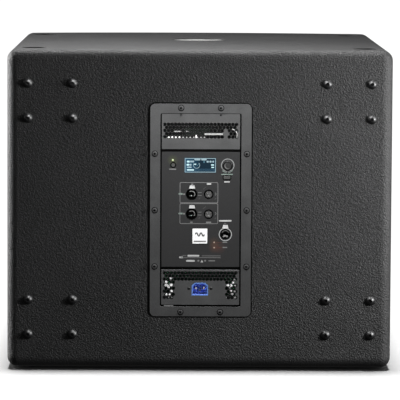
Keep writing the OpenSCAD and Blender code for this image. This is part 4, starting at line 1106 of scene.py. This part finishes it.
def all_but(name, pieces):
    """Collection for light linking that leaves some pieces out."""
    group = bpy.data.collections.new(name)
    for piece in pieces:
        group.objects.link(piece)
    for entry in group.collection_objects:
        entry.light_linking.link_state = "EXCLUDE"
    return group


def surroundings():
    """White where the camera sees past the floor, and a dim even fill for everything else."""
    world = bpy.data.worlds.new("white_studio")
    bpy.context.scene.world = world
    world.use_nodes = True
    tree = world.node_tree
    tree.nodes.clear()
    output = tree.nodes.new("ShaderNodeOutputWorld")
    mix = tree.nodes.new("ShaderNodeMixShader")
    path = tree.nodes.new("ShaderNodeLightPath")
    seen, fill = (tree.nodes.new("ShaderNodeBackground") for _ in range(2))
    seen.inputs["Strength"].default_value = 1.0
    seen.inputs["Color"].default_value = (1, 1, 1, 1)
    fill.inputs["Strength"].default_value = 0.085
    fill.inputs["Color"].default_value = (1, 1, 1, 1)
    tree.links.new(path.outputs["Is Camera Ray"], mix.inputs[0])
    tree.links.new(fill.outputs[0], mix.inputs[1])
    tree.links.new(seen.outputs[0], mix.inputs[2])
    tree.links.new(mix.outputs[0], output.inputs[0])


PANEL_PARTS = ("amp_frame", "amp_screws", "network_port", "encoder_knob", "encoder_ring", "combo_jacks",
               "xlr_outputs", "ac_inlet", "inlet_screws")


def studio():
    """Key box for the panel, side box, strips at both sides and above, and a card behind the object."""
    surroundings()
    ground = floor()
    off_floor = all_but("all_but_floor", [ground])
    coated = [frame["nodes"][node] for node, slot in NODE_SLOT.items() if slot == "black_coating"]
    panel_only = all_but("all_but_floor_and_coating", [ground] + coated)
    flat_frame = all_but("all_but_panel_parts", [frame["nodes"][name] for name in PANEL_PARTS])
    lamps = [area_light("key_box", (0.0, -0.72, 0.98), (0.0, -0.36, 0.32), (0.5, 0.3), 16),
             area_light("side_box", (1.0, -0.82, 1.0), (0.1, -0.36, 0.35), (0.5, 0.5), 12),
             area_light("right_strip", (1.1, -0.76, 0.47), (0.34, -0.34, 0.45), (0.1, 0.2), 29),
             area_light("left_strip", (-1.5, 0.24, 0.75), (-0.34, -0.3, 0.3), (0.7, 1.2), 80),
             area_light("top_strip", (0.15, 0.02, 1.3), (0, -0.2, 0.57), (1.4, 0.3), 23),
             area_light("back_card", (0, 3.4, 1.2), (0, 0, 0.5), (5.0, 2.2), 2)]
    for lamp in lamps:
        lamp.light_linking.receiver_collection = off_floor
        lamp.light_linking.blocker_collection = flat_frame
    key_box, _, right_strip = lamps[:3]
    key_box.light_linking.receiver_collection = panel_only
    coating_only = bpy.data.collections.new("coating_and_bolts")
    for piece in coated + [frame["nodes"]["caster_bolts"]]:
        coating_only.objects.link(piece)
    right_strip.light_linking.receiver_collection = coating_only


def camera():
    """Long lens from behind the box, a little above and to its left, looking slightly down."""
    data = bpy.data.cameras.new("camera")
    data.sensor_width = 36
    data.lens = 287.6
    data.clip_end = 100
    item = bpy.data.objects.new("camera", data)
    bpy.context.scene.collection.objects.link(item)
    distance, height, aside = 5.6959, 0.8499, -0.0476
    pitch, yaw, roll = (math.radians(a) for a in (5.431, 0.487, 0.279))
    forward = Vector((math.sin(yaw) * math.cos(pitch), math.cos(yaw) * math.cos(pitch), -math.sin(pitch)))
    level = Vector((math.cos(yaw), -math.sin(yaw), 0))
    upright = level.cross(forward)
    right = math.cos(roll) * level + math.sin(roll) * upright
    up = -math.sin(roll) * level + math.cos(roll) * upright
    turn = Matrix((right, up, -forward)).transposed().to_4x4()
    item.matrix_world = Matrix.Translation((aside, REAR_Y - distance, height)) @ turn
    bpy.context.scene.camera = item


studio()
camera()
bpy.context.scene.view_settings.view_transform = "Standard"
